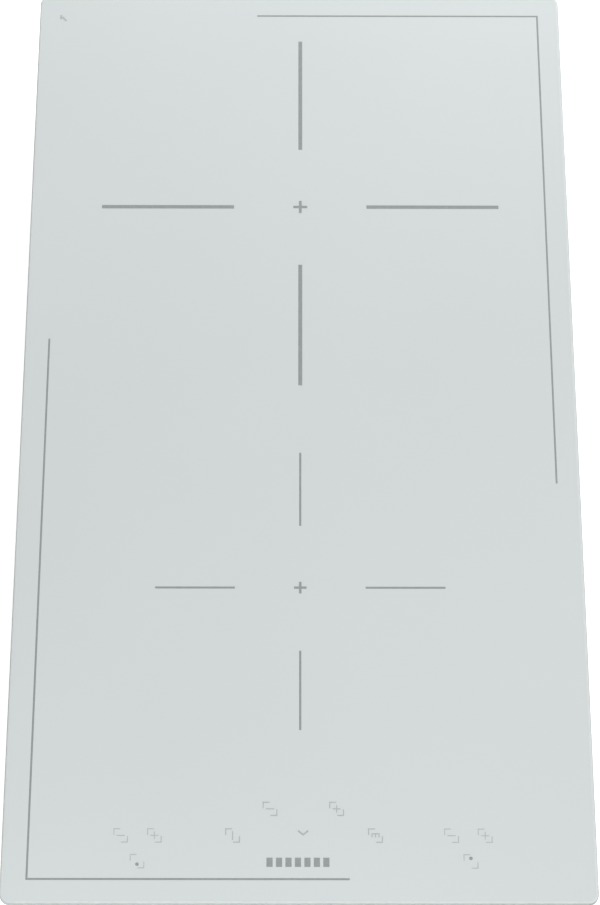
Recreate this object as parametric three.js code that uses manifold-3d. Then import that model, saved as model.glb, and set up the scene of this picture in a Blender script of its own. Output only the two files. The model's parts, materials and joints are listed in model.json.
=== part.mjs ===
// Two-zone built-in induction cooktop of domino width, in millimetres, +Z up.
// The user stands at -Y. The origin is the centre of the footprint, on the plane of the pressed
// feet under the casing, so the whole appliance lies above Z = 0 and the glass is its top face.

import * as THREE from "three";
import { mergeVertices } from "three/addons/utils/BufferGeometryUtils.js";
import Module from "manifold-3d";

const wasm = await Module();
wasm.setup();

// ---------------------------------------------------------------- driving dimensions

const GAP = 0.3; // free space between pieces that lie against each other
const HEIGHT = 56;

const GLASS = { width: 290, depth: 520, thickness: 4, corner: 5, bevel: 0.8 };
const GLASS_UNDERSIDE = HEIGHT - GLASS.thickness;

// Half sizes across X and Y of the ring-shaped pieces under the glass.
const GASKET = { outer: [143.5, 258.5], inner: [136, 251], bottom: 50, top: 51.9 };
const ADHESIVE = { outer: [129, 245], inner: [123, 241.9], bottom: 50.9, top: 51.9 };
const FRAME = { outer: [129.6, 245.6], inner: [121.6, 241.6], bottom: 40, top: 50.8, sheet: 1 };

const TRAY = { half: [131, 247], corner: 4, sheet: 1, bottom: 1, floor: 2, top: 50.8 };
const TRAY_SEAT = TRAY.floor + GAP; // where pieces that stand on the tray's floor begin
const FOOT = { x: 104, rows: [-168, 0, 172], tip: 6, base: 8.5 };

const SLOT_WIDTH = 3.5;
const INTAKE = { count: 9, pitch: 7.4 };
const EXHAUST = { rows: [-222, -192], count: 18, pitch: 11, length: 22 };
const SIDE_VENTS = { y: -60, count: 9, pitch: 9, z: [12, 32] };
const REAR_VENTS = { x: 62, count: 10, pitch: 9, z: [10, 30] };

const ZONES = [
  { name: "rear", y: 123.5, radius: 100, ferrites: 6, ferriteSpan: [30, 88], segments: 36 },
  { name: "front", y: -97.5, radius: 70, ferrites: 4, ferriteSpan: [22, 60], segments: 32 },
];

// Heights of the layers that make up a coil, from the carrier plate to the glass.
const PLATE = { halfWidth: 118, front: -176, rear: 232, bottom: 38, top: 39.2, sensorHole: 10 };
const PLATE_SLOTS = { x: [-84, -28, 28, 84], y: -8, half: [20, 5] };
const PLATE_LEGS = { y: 150, half: 8, sheet: 1.2, foot: 9 };
const FERRITE = { width: 12, bottom: 39.5, top: 43.5 };
const FORMER = { bottom: 43.8, floorTop: 45.3, rimTop: 49.5, hub: 14, wall: 2 };
const WINDING = { bottom: 45.6, top: 50.1, inner: 24 };
const MICA = { bottom: 50.4, top: 51.4, hole: 8 };
const SENSOR = { stem: 4, shoulder: [44, 45.2], neck: 45.8, boot: 6.5, tip: 5.5, tipBelow: 51 };

const BOARD = { left: -118, right: 118, front: -120, rear: 112, bottom: 7, top: 8.6 };
const BOARD_SLOTS = { x: -22, y: 40, half: [1.2, 26] };
const CARRIER = { thickness: 1.8, margin: 3, rim: 5, bars: 80, barHalf: 4, post: 3, postInset: 4 };
const SINK = { left: 8, right: 72, front: -96, rear: 96, bottom: 13.9, baseTop: 18, top: 35.5 };
const FIN = { count: 9, thickness: 1.8 };
const PACKAGE = { height: 4.6, tabBottom: 3, tabReach: 3, tabInset: 1 };

// Power packages under the heat sink, with their places along Y, and the capacitors beside it.
const POWER_PACKAGES = [
  { name: "power_transistor_rear", size: [16, 21], y: 42 },
  { name: "power_transistor_front", size: [16, 21], y: -42 },
  { name: "bridge_rectifier", size: [34, 20], y: 0 },
];
const CAPACITORS = [
  { name: "smoothing_capacitor", x: -49, y: 70, size: [44, 22, 26] },
  { name: "resonant_capacitor_rear", x: -60, y: 4, size: [36, 20, 24] },
  { name: "resonant_capacitor_front", x: -60, y: -66, size: [36, 20, 24] },
];
const CHOKE = { x: -94, y: 84, inner: 9, outer: 21, height: 18, round: 2 };
const TRANSFORMER = { x: 94, y: 40, core: [13, 11, 22], winding: [15, 8, 4, 18] };

const BLOWER = { x: 62, y: 180, floor: TRAY_SEAT, floorTop: 3.8, wallTop: 34, coverTop: 35.8 };
const SCROLL = { tongue: 40, widest: 58, wall: 1.8, outletY: 121, inlet: 31 };
const TONGUE_ANGLE = (230 / 180) * Math.PI;
const OUTLET_ANGLE = 3 * Math.PI;
const IMPELLER = {
  radius: 36,
  bottom: 6,
  top: 30.5,
  hub: 15.2,
  cup: 13.6,
  cupFloor: [12.5, 14.5],
  blades: 20,
  blade: [8, 1.2],
  bladeTurn: 0.6,
  plate: 1.5,
  ring: [4, 1.6],
};
const MOTOR = { stator: 12.5, flange: 18, bottom: 16, flangeBottom: 31.5 };
const DUCT = { wall: 1.6, clearance: 2.5, roof: [36.3, 37.5] };

const CHAMBER = { x: -90, y: 214, half: [31, 28.5], wall: 2, bottom: 0.8, roof: 30, top: 32 };
const LID_PIVOT = { y: 191, z: 3.6, pin: 1.5, ear: 2.6, earWidth: 2 };
const LID = { clearance: 0.4, sheet: 1.8, sunk: 1.3, tabHalf: 8, tabTop: 5.8, ribX: 15, ribTop: 3.3 };
const BLOCK = { half: 22, y: [199, 217], bottom: 14, poles: 5, pitch: 8.4, screwY: 209 };
const WELL = { radius: 2.6, top: 20 };
const ENTRY = { half: 2.5, depth: 6, z: [21.5, 26.5] };
const CLAMP = { half: 15, y: [228, 235], z: [7.8, 11.7], postX: 11, postRadius: 3, grip: 6 };
const CABLE = { x: CHAMBER.x, z: 17.5, bore: 5.2, hole: 7, collar: 9.5, innerEnd: 239.5 };

const MAINS_LEAD = { x: -80, z: 22, radius: 2.4 };
const EARTH_LEAD = { x: -106, z: 20, radius: 1.6 };

const COIL_LEAD = { radius: 2.4, besidePlate: 5.5, rearBoardY: 40, frontBoardY: -100 };
const RIBBON = { x: [24, 36], thickness: 1 };

// A clip's outline: how far its parts stand off the tray's wall, and their heights.
const CLIP = { y: 165, width: 18, sheet: 0.8, foldZ: 20.6, foot: 1.1, bulge: 5.1, pad: [34.2, 37.8] };
const CLIP_TIP = [3.6, 43];
const LUG = { out: 2, below: [4, 1] };
const CASE_SCREW = { y: 200, z: 45, shank: 1.8, head: 3.6, headHeight: 2.2, thread: 6, length: 8 };

const CONTROL = { half: 119, front: -241, rear: -201, floor: 38, rim: 44.8, board: [43.4, 45] };
const CONTROL_WALL = 1.5;
const LEDGES = [-100, -60, 0, 60, 100];
const CONTROL_LEG = { inset: 5, half: 4 };
const SPRING_RADIUS = 3;
const DISPLAY = { half: [6, 4], height: 5 };

// Electrode springs in X and Y: two zone groups with a select key each, and the middle group.
const KEYS = [
  [-87, -227],
  [-71, -227],
  [-79, -235.5],
  [74, -227],
  [90, -227],
  [83, -235.5],
  [-32, -227],
  [-15, -214],
  [18, -214],
  [2, -226],
  [37, -227],
];
const DISPLAYS = [
  [-79, -215],
  [82, -215],
  [1.5, -214],
];

// ---------------------------------------------------------------- finishes

const finish = (color, roughness, metalness = 0) =>
  new THREE.MeshStandardMaterial({ color, roughness, metalness });

const FINISH = {
  whiteGlass: finish(0xd8dedd, 0.12),
  silicone: finish(0x1b1c1d, 0.8),
  foam: finish(0x2b2c2d, 0.95),
  blackSteel: finish(0x26282a, 0.5, 0.6),
  galvanised: finish(0xa9adb0, 0.42, 0.9),
  springSteel: finish(0xb9bcbf, 0.3, 1),
  aluminium: finish(0xc4c6c8, 0.35, 1),
  blackPlastic: finish(0x222324, 0.6),
  greyPlastic: finish(0x8d9092, 0.6),
  copper: finish(0xb06a3c, 0.45, 0.9),
  ferrite: finish(0x3a3b3d, 0.7),
  mica: finish(0xb9a57f, 0.6),
  circuitBoard: finish(0x2f5f3c, 0.5),
  capacitor: finish(0xc9b23a, 0.4),
  sleeve: finish(0xd9d4c8, 0.7),
};

// ---------------------------------------------------------------- geometry helpers

// A closed three.js geometry as a manifold solid.
function solid(geometry) {
  const bare = geometry.index ? geometry.toNonIndexed() : geometry.clone();
  bare.deleteAttribute("normal");
  bare.deleteAttribute("uv");
  const merged = mergeVertices(bare, 1e-4);
  return new wasm.Manifold(
    new wasm.Mesh({
      numProp: 3,
      vertProperties: merged.attributes.position.array,
      triVerts: new Uint32Array(merged.index.array),
    }),
  );
}

const asSolid = (piece) => (piece.isBufferGeometry ? solid(piece) : piece);
const join = (...pieces) => pieces.flat().map(asSolid).reduce((whole, next) => whole.add(next));
const cut = (body, ...tools) => asSolid(body).subtract(join(...tools));

// A manifold solid as a three.js geometry with flat normals.
function geometryOf(body) {
  const made = body.getMesh();
  const indexed = new THREE.BufferGeometry();
  indexed.setAttribute("position", new THREE.BufferAttribute(made.vertProperties, 3));
  indexed.setIndex(new THREE.BufferAttribute(made.triVerts, 1));
  const flat = indexed.toNonIndexed();
  flat.computeVertexNormals();
  return flat;
}

function box([x0, x1], [y0, y1], [z0, z1]) {
  const geometry = new THREE.BoxGeometry(x1 - x0, y1 - y0, z1 - z0);
  return geometry.translate((x0 + x1) / 2, (y0 + y1) / 2, (z0 + z1) / 2);
}

// A rectangle with round corners, centred on the origin unless a centre is given.
function roundedRectangle(halfX, halfY, radius, centreX = 0, centreY = 0) {
  const shape = new THREE.Shape();
  const corners = [
    [1, -1, -0.5],
    [1, 1, 0],
    [-1, 1, 0.5],
    [-1, -1, 1],
  ];
  for (const [sideX, sideY, start] of corners) {
    const x = centreX + sideX * (halfX - radius);
    const y = centreY + sideY * (halfY - radius);
    shape.absarc(x, y, radius, start * Math.PI, (start + 0.5) * Math.PI, false);
  }
  shape.closePath();
  return shape;
}

const polygon = (points) => new THREE.Shape(points.map(([x, y]) => new THREE.Vector2(x, y)));

// A flat shape in X and Y, raised from z0 to z1.
function plate(shape, z0, z1, curveSegments = 4) {
  const options = { depth: z1 - z0, bevelEnabled: false, curveSegments };
  return new THREE.ExtrudeGeometry(shape, options).translate(0, 0, z0);
}

// A shape drawn in X and Z, or in Y and Z, and drawn out along the remaining axis.
function prismAlongY(shape, y0, y1) {
  return plate(shape, 0, y1 - y0).rotateX(Math.PI / 2).translate(0, y1, 0);
}

function prismAlongX(shape, x0, x1) {
  const turn = new THREE.Matrix4().makeBasis(
    new THREE.Vector3(0, 1, 0),
    new THREE.Vector3(0, 0, 1),
    new THREE.Vector3(1, 0, 0),
  );
  return plate(shape, 0, x1 - x0).applyMatrix4(turn).translate(x0, 0, 0);
}

// A flat ring between two rounded rectangles, given by their half sizes.
function ring(outer, inner, z0, z1, outerRadius, innerRadius) {
  const shape = roundedRectangle(...outer, outerRadius);
  shape.holes.push(roundedRectangle(...inner, innerRadius));
  return plate(shape, z0, z1);
}

// A solid of revolution about Z from a profile of [radius, z] points. A profile that touches the
// axis ends there; any other closes on itself.
function turned(profile, segments) {
  const points = profile.map(([r, z]) => new THREE.Vector2(r, z));
  const ordered = THREE.ShapeUtils.isClockWise(points) ? points.reverse() : points;
  const last = ordered[ordered.length - 1];
  const closed = ordered[0].x > 0 || last.x > 0 ? [...ordered, ordered[0].clone()] : ordered;
  return new THREE.LatheGeometry(closed, segments).rotateX(Math.PI / 2);
}

// A straight round rod of the given radius between two heights, standing at x, y.
function rod(radius, x, y, z0, z1, segments = 12) {
  const geometry = new THREE.CylinderGeometry(radius, radius, z1 - z0, segments);
  return geometry.rotateX(Math.PI / 2).translate(x, y, (z0 + z1) / 2);
}

function rodAlongX(radius, x0, x1, y, z, segments = 12) {
  const geometry = new THREE.CylinderGeometry(radius, radius, x1 - x0, segments);
  return geometry.rotateZ(Math.PI / 2).translate((x0 + x1) / 2, y, z);
}

function rodAlongY(radius, x, y0, y1, z, segments = 12) {
  const geometry = new THREE.CylinderGeometry(radius, radius, y1 - y0, segments);
  return geometry.translate(x, (y0 + y1) / 2, z);
}

// The closed outline of a strip of even thickness that follows a polyline, with mitred corners.
function stripOutline(line, thickness) {
  const points = line.map(([x, y]) => new THREE.Vector2(x, y));
  const directions = points.slice(1).map((p, i) => p.clone().sub(points[i]).normalize());
  const sides = [1, -1].map((side) =>
    points.map((p, i) => {
      const before = directions[Math.max(i - 1, 0)];
      const after = directions[Math.min(i, directions.length - 1)];
      const along = before.clone().add(after).normalize();
      const reach = (side * thickness) / 2 / along.dot(after);
      return [p.x - along.y * reach, p.y + along.x * reach];
    }),
  );
  return polygon([...sides[0], ...sides[1].reverse()]);
}

// A round lead along a smooth curve through the given points.
function lead(points, radius, steps) {
  const curve = new THREE.CatmullRomCurve3(points.map((p) => new THREE.Vector3(...p)));
  const section = new THREE.Shape();
  section.absarc(0, 0, radius, 0, 2 * Math.PI, false);
  const options = { extrudePath: curve, steps, curveSegments: 4, bevelEnabled: false };
  return new THREE.ExtrudeGeometry(section, options);
}

const root = new THREE.Group();

function add(name, piece, material, parent = root) {
  const geometry = piece.isBufferGeometry ? piece : geometryOf(piece);
  const mesh = new THREE.Mesh(geometry, material);
  mesh.name = name;
  parent.add(mesh);
  return mesh;
}

function groupAt(x, y, z, turn = 0) {
  const group = new THREE.Group();
  group.position.set(x, y, z);
  group.rotation.z = turn;
  root.add(group);
  return group;
}

// Boxes for a row of slots: `count` of them, `pitch` apart along one axis, about a centre.
function rowOfSlots(count, pitch, along, makeSlot) {
  const first = (-(count - 1) / 2) * pitch;
  return Array.from({ length: count }, (_, i) => makeSlot(along + first + i * pitch));
}

// ---------------------------------------------------------------- glass and its seals

function glassPanel() {
  const { width, depth, thickness, corner, bevel } = GLASS;
  const outline = roundedRectangle(width / 2 - bevel, depth / 2 - bevel, corner - bevel);
  return new THREE.ExtrudeGeometry(outline, {
    depth: thickness - 2 * bevel,
    bevelSize: bevel,
    bevelThickness: bevel,
    bevelSegments: 2,
    curveSegments: 5,
  }).translate(0, 0, GLASS_UNDERSIDE + bevel);
}

const worktopGasket = () => ring(GASKET.outer, GASKET.inner, GASKET.bottom, GASKET.top, 4, 3);
const glassAdhesive = () =>
  ring(ADHESIVE.outer, ADHESIVE.inner, ADHESIVE.bottom, ADHESIVE.top, 3, 1.5);

// An angle-section ring glued under the glass. Its skirt stands just inside the tray's wall.
function glassFrame() {
  const { outer, inner, bottom, top, sheet } = FRAME;
  const skirtInner = outer.map((half) => half - sheet);
  const flange = ring(outer, inner, top - sheet, top, 3, 2);
  const skirt = ring(outer, skirtInner, bottom, top - sheet / 2, 3, 2);
  return cut(join(flange, skirt), ...caseScrewHoles());
}

function caseScrewHoles() {
  const reach = TRAY.half[0] + 2;
  const rows = [CASE_SCREW.y, -CASE_SCREW.y];
  return rows.map((y) => rodAlongX(CASE_SCREW.shank + 0.4, -reach, reach, y, CASE_SCREW.z, 8));
}

// ---------------------------------------------------------------- sheet-metal tray

const THROUGH_FLOOR = [TRAY.bottom - 1, TRAY.floor + 1];

function intakeSlots() {
  return rowOfSlots(INTAKE.count, INTAKE.pitch, BLOWER.y, (y) => {
    const chord = Math.sqrt(SCROLL.inlet ** 2 - (y - BLOWER.y) ** 2);
    return box(
      [BLOWER.x - chord, BLOWER.x + chord],
      [y - SLOT_WIDTH / 2, y + SLOT_WIDTH / 2],
      THROUGH_FLOOR,
    );
  });
}

// Two rows of exhaust slots in the floor behind the front wall.
function exhaustSlots() {
  const { rows, count, pitch, length } = EXHAUST;
  return rows.flatMap((y) =>
    rowOfSlots(count, pitch, 0, (x) =>
      box(
        [x - SLOT_WIDTH / 2, x + SLOT_WIDTH / 2],
        [y - length / 2, y + length / 2],
        THROUGH_FLOOR,
      ),
    ),
  );
}

// Slots through both side walls at once, near the front.
function sideSlots() {
  const reach = TRAY.half[0] + 1;
  const { y: middle, count, pitch, z } = SIDE_VENTS;
  return rowOfSlots(count, pitch, middle, (y) =>
    box([-reach, reach], [y - SLOT_WIDTH / 2, y + SLOT_WIDTH / 2], z),
  );
}

function rearSlots() {
  const wall = [TRAY.half[1] - 3, TRAY.half[1] + 1];
  const { x: middle, count, pitch, z } = REAR_VENTS;
  return rowOfSlots(count, pitch, middle, (x) =>
    box([x - SLOT_WIDTH / 2, x + SLOT_WIDTH / 2], wall, z),
  );
}

// Lugs pressed out of the side walls, one under each clip.
function clipLugs() {
  const { y, width, foldZ } = CLIP;
  const heights = LUG.below.map((drop) => foldZ - drop);
  return [y, -y].flatMap((middle) =>
    [-1, 1].map((side) => {
      const wall = side * TRAY.half[0];
      const across = [wall - side * 0.5, wall + side * LUG.out].sort((a, b) => a - b);
      return box(across, [middle - width / 2, middle + width / 2], heights);
    }),
  );
}

// Round feet pressed down out of the floor, one pair in each row: the outside of each press, and
// the hollow that it leaves in the floor above.
function pressedFeet(drop, grow) {
  const { x, rows, tip, base } = FOOT;
  const profile = [
    [0, drop],
    [tip + grow, drop],
    [base + grow, drop + TRAY.bottom],
    [base + grow, drop + TRAY.bottom + 0.5],
    [0, drop + TRAY.bottom + 0.5],
  ];
  return rows.flatMap((y) => [-x, x].map((side) => turned(profile, 16).translate(side, y, 0)));
}

function casingTray() {
  const { half, corner, sheet, bottom, floor, top } = TRAY;
  const inside = half.map((size) => size - sheet);
  const outer = join(
    plate(roundedRectangle(...half, corner), bottom, top),
    clipLugs(),
    pressedFeet(0, 0),
  );
  const chamberHole = CHAMBER.half.map((size) => size + GAP);
  return cut(
    outer,
    plate(roundedRectangle(...inside, corner - sheet), floor, top + 1),
    pressedFeet(sheet, -sheet),
    intakeSlots(),
    exhaustSlots(),
    sideSlots(),
    rearSlots(),
    caseScrewHoles(),
    plate(roundedRectangle(...chamberHole, 2, CHAMBER.x, CHAMBER.y), ...THROUGH_FLOOR),
    rodAlongY(CABLE.hole, CABLE.x, half[1] - 3, half[1] + 1, CABLE.z, 16),
  );
}

// Pan-head screw that holds the tray to the frame, with its axis along X.
function caseScrew() {
  const { shank, head, headHeight, thread, length } = CASE_SCREW;
  const profile = [
    [0, headHeight],
    [head - 1, headHeight],
    [head, headHeight - 1],
    [head, 0],
    [shank, 0],
    [shank, -thread],
    [0, -length],
  ];
  return turned(profile, 12).rotateY(Math.PI / 2);
}

// ---------------------------------------------------------------- worktop clips

// A leaf spring that stands on a lug of the tray: out to a flat pad that presses on the cut-out's
// edge, then back in. The tray's wall is the plane X = 0.
function sideClip() {
  const line = [
    [CLIP.foot, CLIP.foldZ - GAP],
    [CLIP.bulge, CLIP.pad[0]],
    [CLIP.bulge, CLIP.pad[1]],
    CLIP_TIP,
  ];
  const half = CLIP.width / 2 - 0.5;
  return prismAlongY(stripOutline(line, CLIP.sheet), -half, half);
}

function addClips() {
  for (const [end, y] of [["rear", CLIP.y], ["front", -CLIP.y]]) {
    for (const [side, direction] of [["right", 1], ["left", -1]]) {
      const wall = groupAt(direction * TRAY.half[0], y, 0, direction > 0 ? 0 : Math.PI);
      add(`side_clip_${end}_${side}`, sideClip(), FINISH.springSteel, wall);
    }
  }
}

function addCaseScrews() {
  for (const [end, y] of [["rear", CASE_SCREW.y], ["front", -CASE_SCREW.y]]) {
    for (const [side, direction] of [["right", 1], ["left", -1]]) {
      const x = direction * (TRAY.half[0] + GAP);
      const seat = groupAt(x, y, CASE_SCREW.z, direction > 0 ? 0 : Math.PI);
      add(`case_screw_${end}_${side}`, caseScrew(), FINISH.springSteel, seat);
    }
  }
}

// ---------------------------------------------------------------- mains connection chamber

// A plastic box open downwards, with a flange that lies on the tray's floor.
function terminalBox() {
  const { x, y, half, wall, bottom, roof, top } = CHAMBER;
  const inner = half.map((size) => size - wall);
  const flange = half.map((size) => size + 3);
  const outside = plate(roundedRectangle(...half, 1.5, x, y), bottom, top);
  const lip = plate(roundedRectangle(...flange, 2, x, y), TRAY_SEAT, TRAY_SEAT + 1.5);
  const postY = (CLAMP.y[0] + CLAMP.y[1]) / 2;
  const posts = [-CLAMP.postX, CLAMP.postX].map((offset) =>
    rod(CLAMP.postRadius, x + offset, postY, CLAMP.z[1] + GAP, roof + 1, 10),
  );
  const hollow = plate(roundedRectangle(...inner, 1, x, y), bottom - 1, roof);
  const rearWall = [y + half[1] - 3, y + half[1] + 1];
  const cableHole = rodAlongY(CABLE.hole, CABLE.x, ...rearWall, CABLE.z, 16);
  const socket = LID_PIVOT.pin + GAP;
  const pins = rodAlongX(socket, x - half[0] - 1, x + half[0] + 1, LID_PIVOT.y, LID_PIVOT.z, 12);
  const frontWall = [y - half[1] - 1, y - half[1] + 3];
  const leadHoles = [MAINS_LEAD, EARTH_LEAD].map((wire) =>
    rodAlongY(wire.radius + 0.8, wire.x, ...frontWall, wire.z, 12),
  );
  return join(cut(join(outside, lip), hollow, cableHole, pins, leadHoles), posts);
}

// The lid turns on two stub pins that sit in the box's side walls. A tab holds its far edge.
function terminalLid() {
  const { x, y, half, wall, bottom } = CHAMBER;
  const { y: pivotY, z: pivotZ, pin, ear, earWidth } = LID_PIVOT;
  const { clearance, sheet, sunk, tabHalf, tabTop, ribX, ribTop } = LID;
  const reach = half[0] - wall - clearance;
  const farEdge = y + half[1] - wall - clearance;
  const cover = box([x - reach, x + reach], [pivotY - 1, farEdge], [bottom, bottom + sheet]);
  const tabHeights = [bottom + sunk, bottom + tabTop];
  const tab = box([x - tabHalf, x + tabHalf], [farEdge - 1.5, farEdge], tabHeights);
  const ribs = [-ribX, ribX].map((offset) =>
    box(
      [x + offset, x + offset + 1.5],
      [pivotY + 6, farEdge - 6],
      [bottom + sunk, bottom + ribTop],
    ),
  );
  const ears = [-1, 1].map((side) => {
    const ends = [x + side * (reach - earWidth), x + side * reach].sort((a, b) => a - b);
    const tip = x + side * (half[0] - clearance);
    const stub = [x + side * (reach - 1), tip].sort((a, b) => a - b);
    return join(
      rodAlongX(ear, ...ends, pivotY, pivotZ, 12),
      rodAlongX(pin, ...stub, pivotY, pivotZ, 12),
    );
  });
  return join(cover, tab, ribs, ears);
}

// Block under the chamber's roof: from below, a screw well over each pole, and towards the cable,
// a square entry for each core.
function terminalBlock() {
  const { x, roof } = CHAMBER;
  const { half, y, bottom, poles, pitch, screwY } = BLOCK;
  const body = box([x - half, x + half], y, [bottom, roof - GAP]);
  const wells = rowOfSlots(poles, pitch, x, (pole) =>
    rod(WELL.radius, pole, screwY, bottom - 1, WELL.top, 8),
  );
  const entries = rowOfSlots(poles, pitch, x, (pole) =>
    box([pole - ENTRY.half, pole + ENTRY.half], [y[1] - ENTRY.depth, y[1] + 1], ENTRY.z),
  );
  return cut(body, wells, entries);
}

// The bar that grips the cable's sheath from below, with its grip hollowed out.
function cableClamp() {
  const { half, y, z, grip } = CLAMP;
  const bar = box([CHAMBER.x - half, CHAMBER.x + half], y, z);
  return cut(bar, rodAlongY(grip, CHAMBER.x, y[0] - 1, y[1] + 1, z[1] + grip - 1.3, 12));
}

function cableGrommet() {
  const wallFace = TRAY.half[1] + GAP;
  const profile = [
    [CABLE.bore, CABLE.innerEnd],
    [CABLE.hole - GAP, CABLE.innerEnd],
    [CABLE.hole - GAP, wallFace],
    [CABLE.collar, wallFace],
    [CABLE.collar, wallFace + 1.6],
    [CABLE.collar - 1, wallFace + 2.4],
    [CABLE.bore, wallFace + 2.4],
  ];
  return turned(profile, 16).rotateX(-Math.PI / 2).translate(CABLE.x, 0, CABLE.z);
}

// Both leads leave the block's front face and the box's front wall level, then drop.
function mainsLead() {
  const { x, z, radius } = MAINS_LEAD;
  const route = [
    [x, 198.6, z],
    [x, 188, z],
    [x, 176, z - 0.5],
    [x + 6, 152, z - 3],
    [x + 14, 124, z - 6],
    [x + 18, 104, 12.2],
  ];
  return lead(route, radius, 20);
}

function earthLead() {
  const { x, z, radius } = EARTH_LEAD;
  const route = [
    [x, 198.6, z],
    [x, 188, z],
    [x, 179, z - 1],
    [x, 172, z - 8],
    [x, 166, 6],
    [x, 160, 4.4],
  ];
  return lead(route, radius, 14);
}

// ---------------------------------------------------------------- induction coils

// A flat plate under both coils, on four folded legs, open at the sensors and between the zones.
function coilPlate() {
  const { halfWidth, front, rear, bottom, top, sensorHole } = PLATE;
  const middle = (front + rear) / 2;
  const outline = roundedRectangle(halfWidth, (rear - front) / 2, 6, 0, middle);
  for (const zone of ZONES) {
    const hole = new THREE.Path();
    hole.absarc(0, zone.y, sensorHole, 0, 2 * Math.PI, true);
    outline.holes.push(hole);
  }
  const { half } = PLATE_SLOTS;
  for (const x of PLATE_SLOTS.x) {
    outline.holes.push(roundedRectangle(...half, half[1], x, PLATE_SLOTS.y));
  }
  return join(plate(outline, bottom, top, 6), plateLegs());
}

// Each leg is folded down from the plate's edge and turned in at its foot.
function plateLegs() {
  const { y: row, half, sheet, foot } = PLATE_LEGS;
  return [-row, row].flatMap((y) =>
    [-1, 1].flatMap((side) => {
      const outerFace = side * PLATE.halfWidth;
      const along = [y - half, y + half];
      const upright = [outerFace, outerFace - side * sheet].sort((a, b) => a - b);
      const turnedIn = [outerFace, outerFace - side * foot].sort((a, b) => a - b);
      return [
        box(upright, along, [TRAY_SEAT, PLATE.bottom + sheet / 2]),
        box(turnedIn, along, [TRAY_SEAT, TRAY_SEAT + sheet]),
      ];
    }),
  );
}

// A spool-shaped plastic former, with pairs of ribs below that hold the ferrite bars.
function coilFormer({ radius, ferrites, ferriteSpan, segments }) {
  const { bottom, floorTop, rimTop, hub, wall } = FORMER;
  const spool = turned(
    [
      [hub, bottom],
      [radius, bottom],
      [radius, rimTop],
      [radius - wall, rimTop],
      [radius - wall, floorTop],
      [hub + wall, floorTop],
      [hub + wall, rimTop],
      [hub, rimTop],
    ],
    segments,
  );
  const rib = FERRITE.width / 2 + GAP;
  const ribs = Array.from({ length: ferrites }, (_, i) =>
    [rib, -rib - 1.4].map((y) =>
      box(ferriteSpan, [y, y + 1.4], [FERRITE.bottom + 1, bottom + 0.5]).rotateZ(
        ((i + 0.5) * 2 * Math.PI) / ferrites,
      ),
    ),
  );
  return join(spool, ribs.flat());
}

const ferriteBar = ({ ferriteSpan }) =>
  box(ferriteSpan, [-FERRITE.width / 2, FERRITE.width / 2], [FERRITE.bottom, FERRITE.top]);

// The flat spiral of litz wire, as the ring that its turns fill.
function coilWinding({ radius, segments }) {
  const outer = radius - FORMER.wall - 0.6;
  const profile = [
    [WINDING.inner, WINDING.bottom],
    [outer, WINDING.bottom],
    [outer, WINDING.top],
    [WINDING.inner, WINDING.top],
  ];
  return turned(profile, segments);
}

function micaDisc({ radius, segments }) {
  const profile = [
    [MICA.hole, MICA.bottom],
    [radius, MICA.bottom],
    [radius, MICA.top],
    [MICA.hole, MICA.top],
  ];
  return turned(profile, segments);
}

// A thermistor in a silicone boot that presses on the glass from inside the former's hub.
function temperatureSensor() {
  const { stem, shoulder, neck, boot, tip, tipBelow } = SENSOR;
  const collar = FORMER.hub - 0.5;
  const profile = [
    [0, PLATE.top + GAP],
    [stem, PLATE.top + GAP],
    [stem, shoulder[0]],
    [collar, shoulder[0]],
    [collar, shoulder[1]],
    [boot, neck],
    [boot, tipBelow],
    [tip, GLASS_UNDERSIDE - GAP],
    [0, GLASS_UNDERSIDE - GAP],
  ];
  return turned(profile, 16);
}

function addCoil(zone) {
  const group = groupAt(0, zone.y, 0);
  add(`${zone.name}_coil_former`, coilFormer(zone), FINISH.blackPlastic, group);
  add(`${zone.name}_coil_winding`, coilWinding(zone), FINISH.copper, group);
  add(`${zone.name}_mica_disc`, micaDisc(zone), FINISH.mica, group);
  add(`${zone.name}_temperature_sensor`, temperatureSensor(), FINISH.sleeve, group);
  for (let i = 0; i < zone.ferrites; i += 1) {
    const bar = add(`${zone.name}_ferrite_${i + 1}`, ferriteBar(zone), FINISH.ferrite, group);
    bar.rotation.z = ((i + 0.5) * 2 * Math.PI) / zone.ferrites;
  }
}

// Each coil's pair of wires, in one sleeve: over the plate's left edge and down to the board.
function coilLead({ y, radius }, boardY) {
  const slot = PLATE.halfWidth + COIL_LEAD.besidePlate;
  const route = [
    [-radius - 0.8, y, 46.6],
    [-radius - 12, y - 3, 46.5],
    [-slot + 4, y - 8, 43],
    [-slot, y - 12, 36],
    [-slot, boardY + 12, 22],
    [-slot + 3, boardY + 3, 14],
    [-slot + 12, boardY, 12],
  ];
  return lead(route, COIL_LEAD.radius, 22);
}

// ---------------------------------------------------------------- power electronics

// Plastic frame with posts that keeps the power board clear of the tray.
function boardCarrier() {
  const { left, right, front, rear, bottom } = BOARD;
  const { thickness, margin, rim, bars: barX, barHalf, post, postInset } = CARRIER;
  const floor = [TRAY_SEAT, TRAY_SEAT + thickness];
  const middle = (front + rear) / 2;
  const halfDepth = (rear - front) / 2;
  const outline = roundedRectangle(right + margin, halfDepth + margin, 4, 0, middle);
  outline.holes.push(roundedRectangle(right - rim, halfDepth - rim, 2, 0, middle));
  const bars = [-barX, 0, barX].map((x) => box([x - barHalf, x + barHalf], [front, rear], floor));
  const posts = [left + postInset, -barX, barX, right - postInset].flatMap((x) =>
    [front + postInset, middle, rear - postInset].map((y) =>
      rod(post, x, y, floor[0] + 0.5, bottom - GAP, 8),
    ),
  );
  return join(plate(outline, ...floor), bars, posts);
}

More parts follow.
